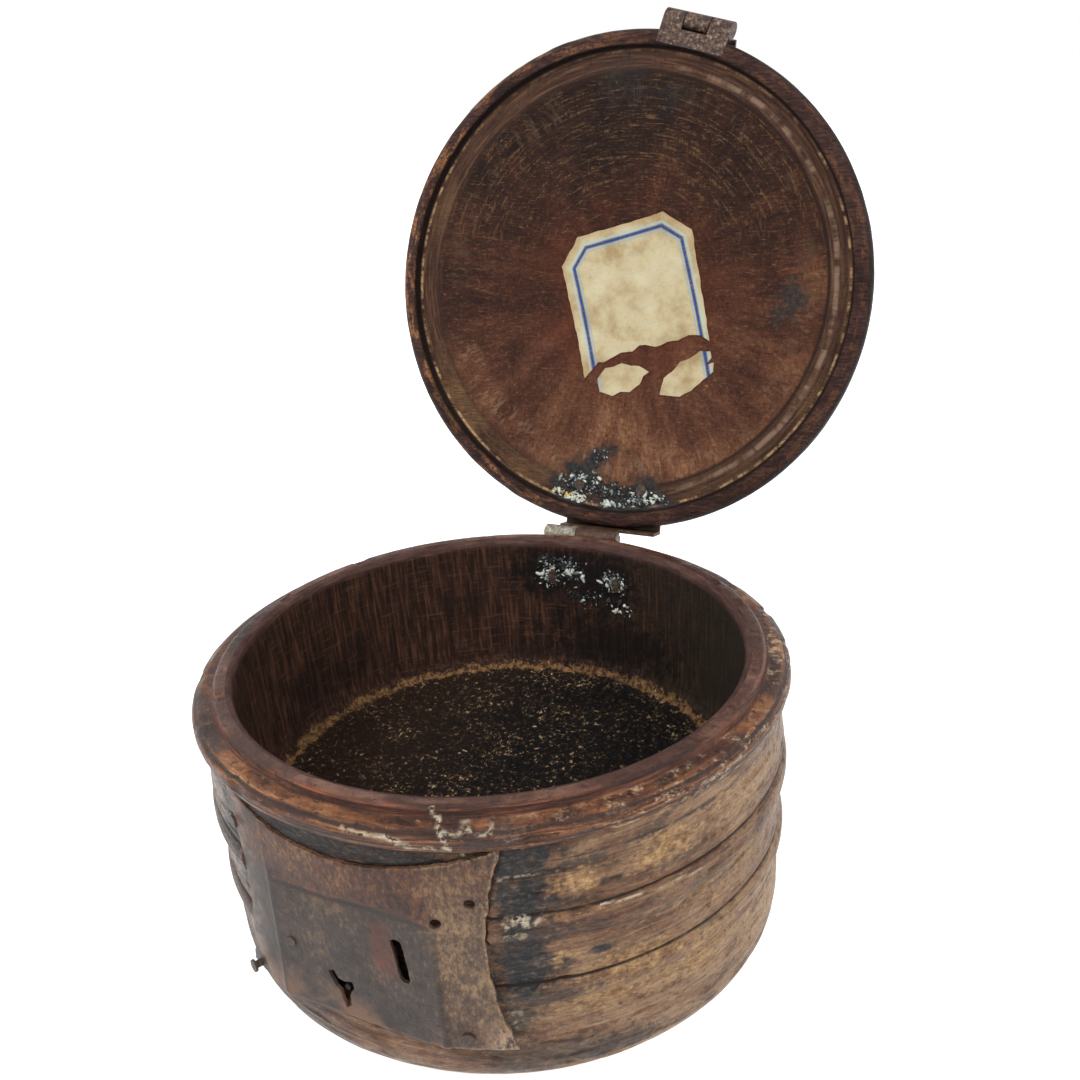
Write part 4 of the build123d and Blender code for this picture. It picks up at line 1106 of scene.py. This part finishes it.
def labelSpot(point, sink):
    turn = Matrix.Rotation(math.radians(paper["turn"]), 2)
    x, y = turn @ Vector(point) + Vector(paper["centre"])
    radius = math.hypot(x, y)
    nearEdge = smooth(2.6, 0.0, paper["half"][1] - abs(point[1]))
    curl = 0.25 * nearEdge * (0.5 + streaks(point[0] * 0.3, 0, 0, 3))
    return lidOpen @ (Vector((x, y, dishHeight(radius) - paper["lift"] - sink - max(curl, 0))) * mm) / mm


def paperPiece(name, outline, seed):
    loop = roughLoop(outline, 0.5, 0.22, seed)
    points, triangles = cutSheet(loop, [], paper["step"], lambda u, v: insideOf(u, v, loop), -1)
    return thickSheet(name, points, triangles, lambda p: labelSpot(p, paper["thick"]),
                      lambda p: labelSpot(p, 0.0))


def paperMaterial():
    material = newMaterial("agedPaper")
    at = turnedPlace(onLid=True)
    turn = math.radians(-paper["turn"])
    x = minus(at["x"], paper["centre"][0])
    y = minus(at["y"], paper["centre"][1])
    u = minus(times(x, math.cos(turn)), times(y, math.sin(turn)))
    v = plus(times(x, math.sin(turn)), times(y, math.cos(turn)))
    halfU, halfV = paper["half"]
    insetU = minus(halfU, maths("ABSOLUTE", u))
    insetV = plus(v, halfV)
    corner = times(minus(plus(insetU, insetV), paper["clip"]), math.sqrt(0.5))
    inset = maths("MINIMUM", maths("MINIMUM", insetU, insetV), corner)
    stains = cloud(at["place"], 0.1, 5, 0.6)
    fibres = cloud(at["place"], 1.6, 5, 0.75)
    colour = ramp(stains, [(0.34, (188, 178, 148)), (0.5, (178, 164, 130)), (0.66, (150, 128, 92))])
    colour = coats(colour, (inset, 1.6, 0.0, 0.35, (158, 130, 88)),
                   (fibres, 0.56, 0.7, 0.5, (140, 120, 88)))
    for middle, half, ink, strength in paper["border"]:
        line = times(nearLine(inset, middle, half), ranged(fibres, 0.7, 0.5, 0.6, 1.0), strength)
        colour = blend(line, colour, ink)
    for row in range(7):
        line = times(nearLine(v, -15.0 + 4.6 * row, 0.22), ranged(inset, 5.6, 6.4), 0.3)
        colour = blend(line, colour, (150, 158, 150))
    surface(colour, 0.82, fibres, 0.08, specular=0.2)
    return material


labelPaper = paperMaterial()
for name, outline, seed in (("labelPaper", paper["main"], 3), ("labelScrapLeft", paper["leftScrap"], 5),
                            ("labelScrapRight", paper["rightScrap"], 7)):
    piece = paperPiece(name, outline, seed)
    piece.data.materials.append(labelPaper)
    if name == "labelPaper":
        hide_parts("label")
    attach(piece, "lid")
print("label finished")


# corrosion that has crept out round the hinge nails: small crumbs heaped on the wood
crust = {
    "lid": [((-9.5, 55.8), 4.0, 1.1, 120, 1), ((-14.5, 54.6), 2.4, 0.7, 50, 2),
            ((-7.8, 51.4), 5.0, 2.4, 210, 0), ((8.6, 54.8), 5.0, 1.9, 190, 0),
            ((0.5, 56.9), 5.5, 0.4, 70, 3), ((13.5, 54.2), 2.4, 0.8, 40, 3),
            ((-4.5, 46.0), 2.4, 2.2, 60, 4), ((-3.0, 44.0), 1.2, 1.2, 14, 5),
            ((-1.0, 53.4), 7.0, 1.6, 90, 4)],
    "tints": [(0.03, 0.1, 0.25, 0.45, 0.6), (0.85, 0.6, 0.15, 0.6), (0.85, 0.95, 0.6, 0.1), (0.6, 0.5, 0.2),
              (0.02, 0.05, 0.2, 0.45), (0.05, 0.2, 0.45, 0.55, 0.62)],
    "wall": [((-9.6, 49.8), 3.4, 2.6, 150, 5), ((-4.0, 51.2), 3.4, 2.2, 150, 0),
             ((8.0, 50.2), 3.4, 2.8, 190, 5), ((0.0, 45.2), 6.0, 3.4, 80, 4),
             ((-8.0, 54.0), 7.0, 1.6, 110, 4), ((9.0, 44.0), 3.4, 2.0, 40, 5)],
}


def crumb(vertices, faces, place, across, along, up, seed):
    ring = 7
    first = len(vertices)
    vertices.append(place + up)
    for row in (0.45, 1.0):
        for i in range(ring):
            t = 2 * math.pi * (i + 0.5 * row) / ring
            wobble = 1 + 0.45 * streaks(math.cos(t) * 2, math.sin(t) * 2, row * 3, seed)
            flat = across * (math.cos(t) * row * wobble) + along * (math.sin(t) * row * wobble)
            vertices.append(place + flat + up * (0.75 if row < 1 else -0.3) * wobble)
    for i in range(ring):
        after = (i + 1) % ring
        faces.append((first, first + 1 + i, first + 1 + after))
        faces.append((first + 1 + i, first + 1 + ring + i, first + 1 + ring + after, first + 1 + after))
    faces.append(tuple(first + 2 * ring - i for i in range(ring)))


def lidBandSpot(x, y):
    radius = math.hypot(x, y)
    height = dishHeight(radius) if radius < 52.4 else lid["band"] - 0.05
    return Vector((x, y, height)), Vector((0, 0, -1))


def wallSpot(x, z):
    radius = 52.9 + (z - 45.0) * 0.055
    spot = Vector((x, math.sqrt(radius * radius - x * x), z))
    return spot, Vector((-spot.x, -spot.y, 0)).normalized()


def crumbPiece(name, heaps, spotAt, body, onLid):
    dice = random.Random(11)
    vertices, faces, tints = [], [], []
    for (middle1, middle2), wide, tall, count, kind in heaps:
        for _ in range(count):
            size = dice.uniform(0.12, 0.42) if dice.random() > 0.1 else dice.uniform(0.45, 0.9)
            place, out = spotAt(middle1 + dice.gauss(0, 0.45) * wide, middle2 + dice.gauss(0, 0.5) * tall)
            side = out.orthogonal().normalized()
            turn = Matrix.Rotation(dice.uniform(0, 6.28), 3, out)
            across = turn @ side * size * dice.uniform(0.7, 2.4)
            along = turn @ out.cross(side) * size * 0.75
            tint = dice.choice(crust["tints"][kind]) + dice.uniform(-0.08, 0.05)
            up = out * size * dice.uniform(0.35, 0.7)
            crumb(vertices, faces, place, across, along, up, dice.uniform(0, 50))
            tints += [tint] * (len(vertices) - len(tints))
    if onLid:
        vertices = [lidOpen @ (v * mm) / mm for v in vertices]
    piece = newPiece(name, vertices, faces)
    paintLayer(piece, "tint", tints)
    piece.data.materials.append(crustPowder)
    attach(piece, body)


def crustMaterial():
    material = newMaterial("crustPowder")
    at = turnedPlace()
    grit = cloud(at["place"], 2.4, 5, 0.8)
    value = plus(mark("tint"), scaled(grit, 0.9, -0.48))
    colour = ramp(value, [(0.0, (12, 12, 14)), (0.2, (48, 52, 54)), (0.4, (118, 124, 120)),
                          (0.56, (200, 206, 196)), (0.68, (224, 222, 200)), (0.8, (200, 168, 82)),
                          (0.95, (148, 110, 46))])
    surface(colour, 0.7, grit, 0.25, specular=0.35)
    return material


crustPowder = crustMaterial()
crumbPiece("lidCrust", crust["lid"], lidBandSpot, "lid", True)
crumbPiece("wallCrust", crust["wall"], wallSpot, "drum", False)
print("crusts heaped")


# iron on the box
def ironMaterial(name, stops, rust, onLid=False, roughLow=0.36, roughHigh=0.58):
    material = newMaterial(name)
    at = turnedPlace(onLid)
    patches = cloud(at["place"], (0.16, 0.16, 0.16), 6, 0.68, 0.3)
    pits = cloud(at["place"], 0.9, 6, 0.75)
    colour = ramp(pits, stops)
    colour = blend(ranged(patches, 0.48, 0.66, 0, 0.8), colour, rust)
    rough = ranged(pits, 0.3, 0.7, roughLow, roughHigh)
    surface(colour, rough, pits, 0.35, metal=0.15, specular=0.3)
    return material


def dress(nodes, material):
    for node in nodes:
        piece = bpy.data.objects[node]
        piece.data.materials.clear()
        piece.data.materials.append(material)


dress(["rear_hinge_body_leaf", "rear_hinge_pin"],
      ironMaterial("greyHingeIron", [(0.3, (60, 54, 48)), (0.5, (132, 126, 112)), (0.68, (196, 190, 172))],
                   (88, 66, 52)))
dress(["rear_hinge_lid_leaf"],
      ironMaterial("brownHingeIron", [(0.3, (34, 25, 22)), (0.5, (74, 54, 42)), (0.7, (118, 88, 64))],
                   (58, 40, 32), True))
dress(["hasp", "hasp_leaf", "hasp_pin", "hasp_staple"],
      ironMaterial("haspIron", [(0.36, (20, 14, 12)), (0.48, (58, 41, 34)), (0.58, (104, 82, 68)),
                                (0.7, (178, 160, 136))], (52, 34, 28), True))
dress(["lock_plate_nails", "body_hinge_nails", "lid_hinge_nails", "hasp_leaf_rivets", "lock_rivets"],
      ironMaterial("nailIron", [(0.3, (30, 25, 24)), (0.5, (62, 52, 46)), (0.7, (110, 94, 78))],
                   (70, 46, 34)))
dress(["lock_back_plate", "bolt_guide_left", "bolt_keeper_right", "lock_bolt", "bolt_spring", "key_pin",
       "lock_ward"],
      ironMaterial("worksIron", [(0.3, (7, 6, 6)), (0.5, (17, 14, 13)), (0.7, (34, 28, 25))],
                   (20, 13, 10), roughLow=0.65, roughHigh=0.85))
print("iron dressed")
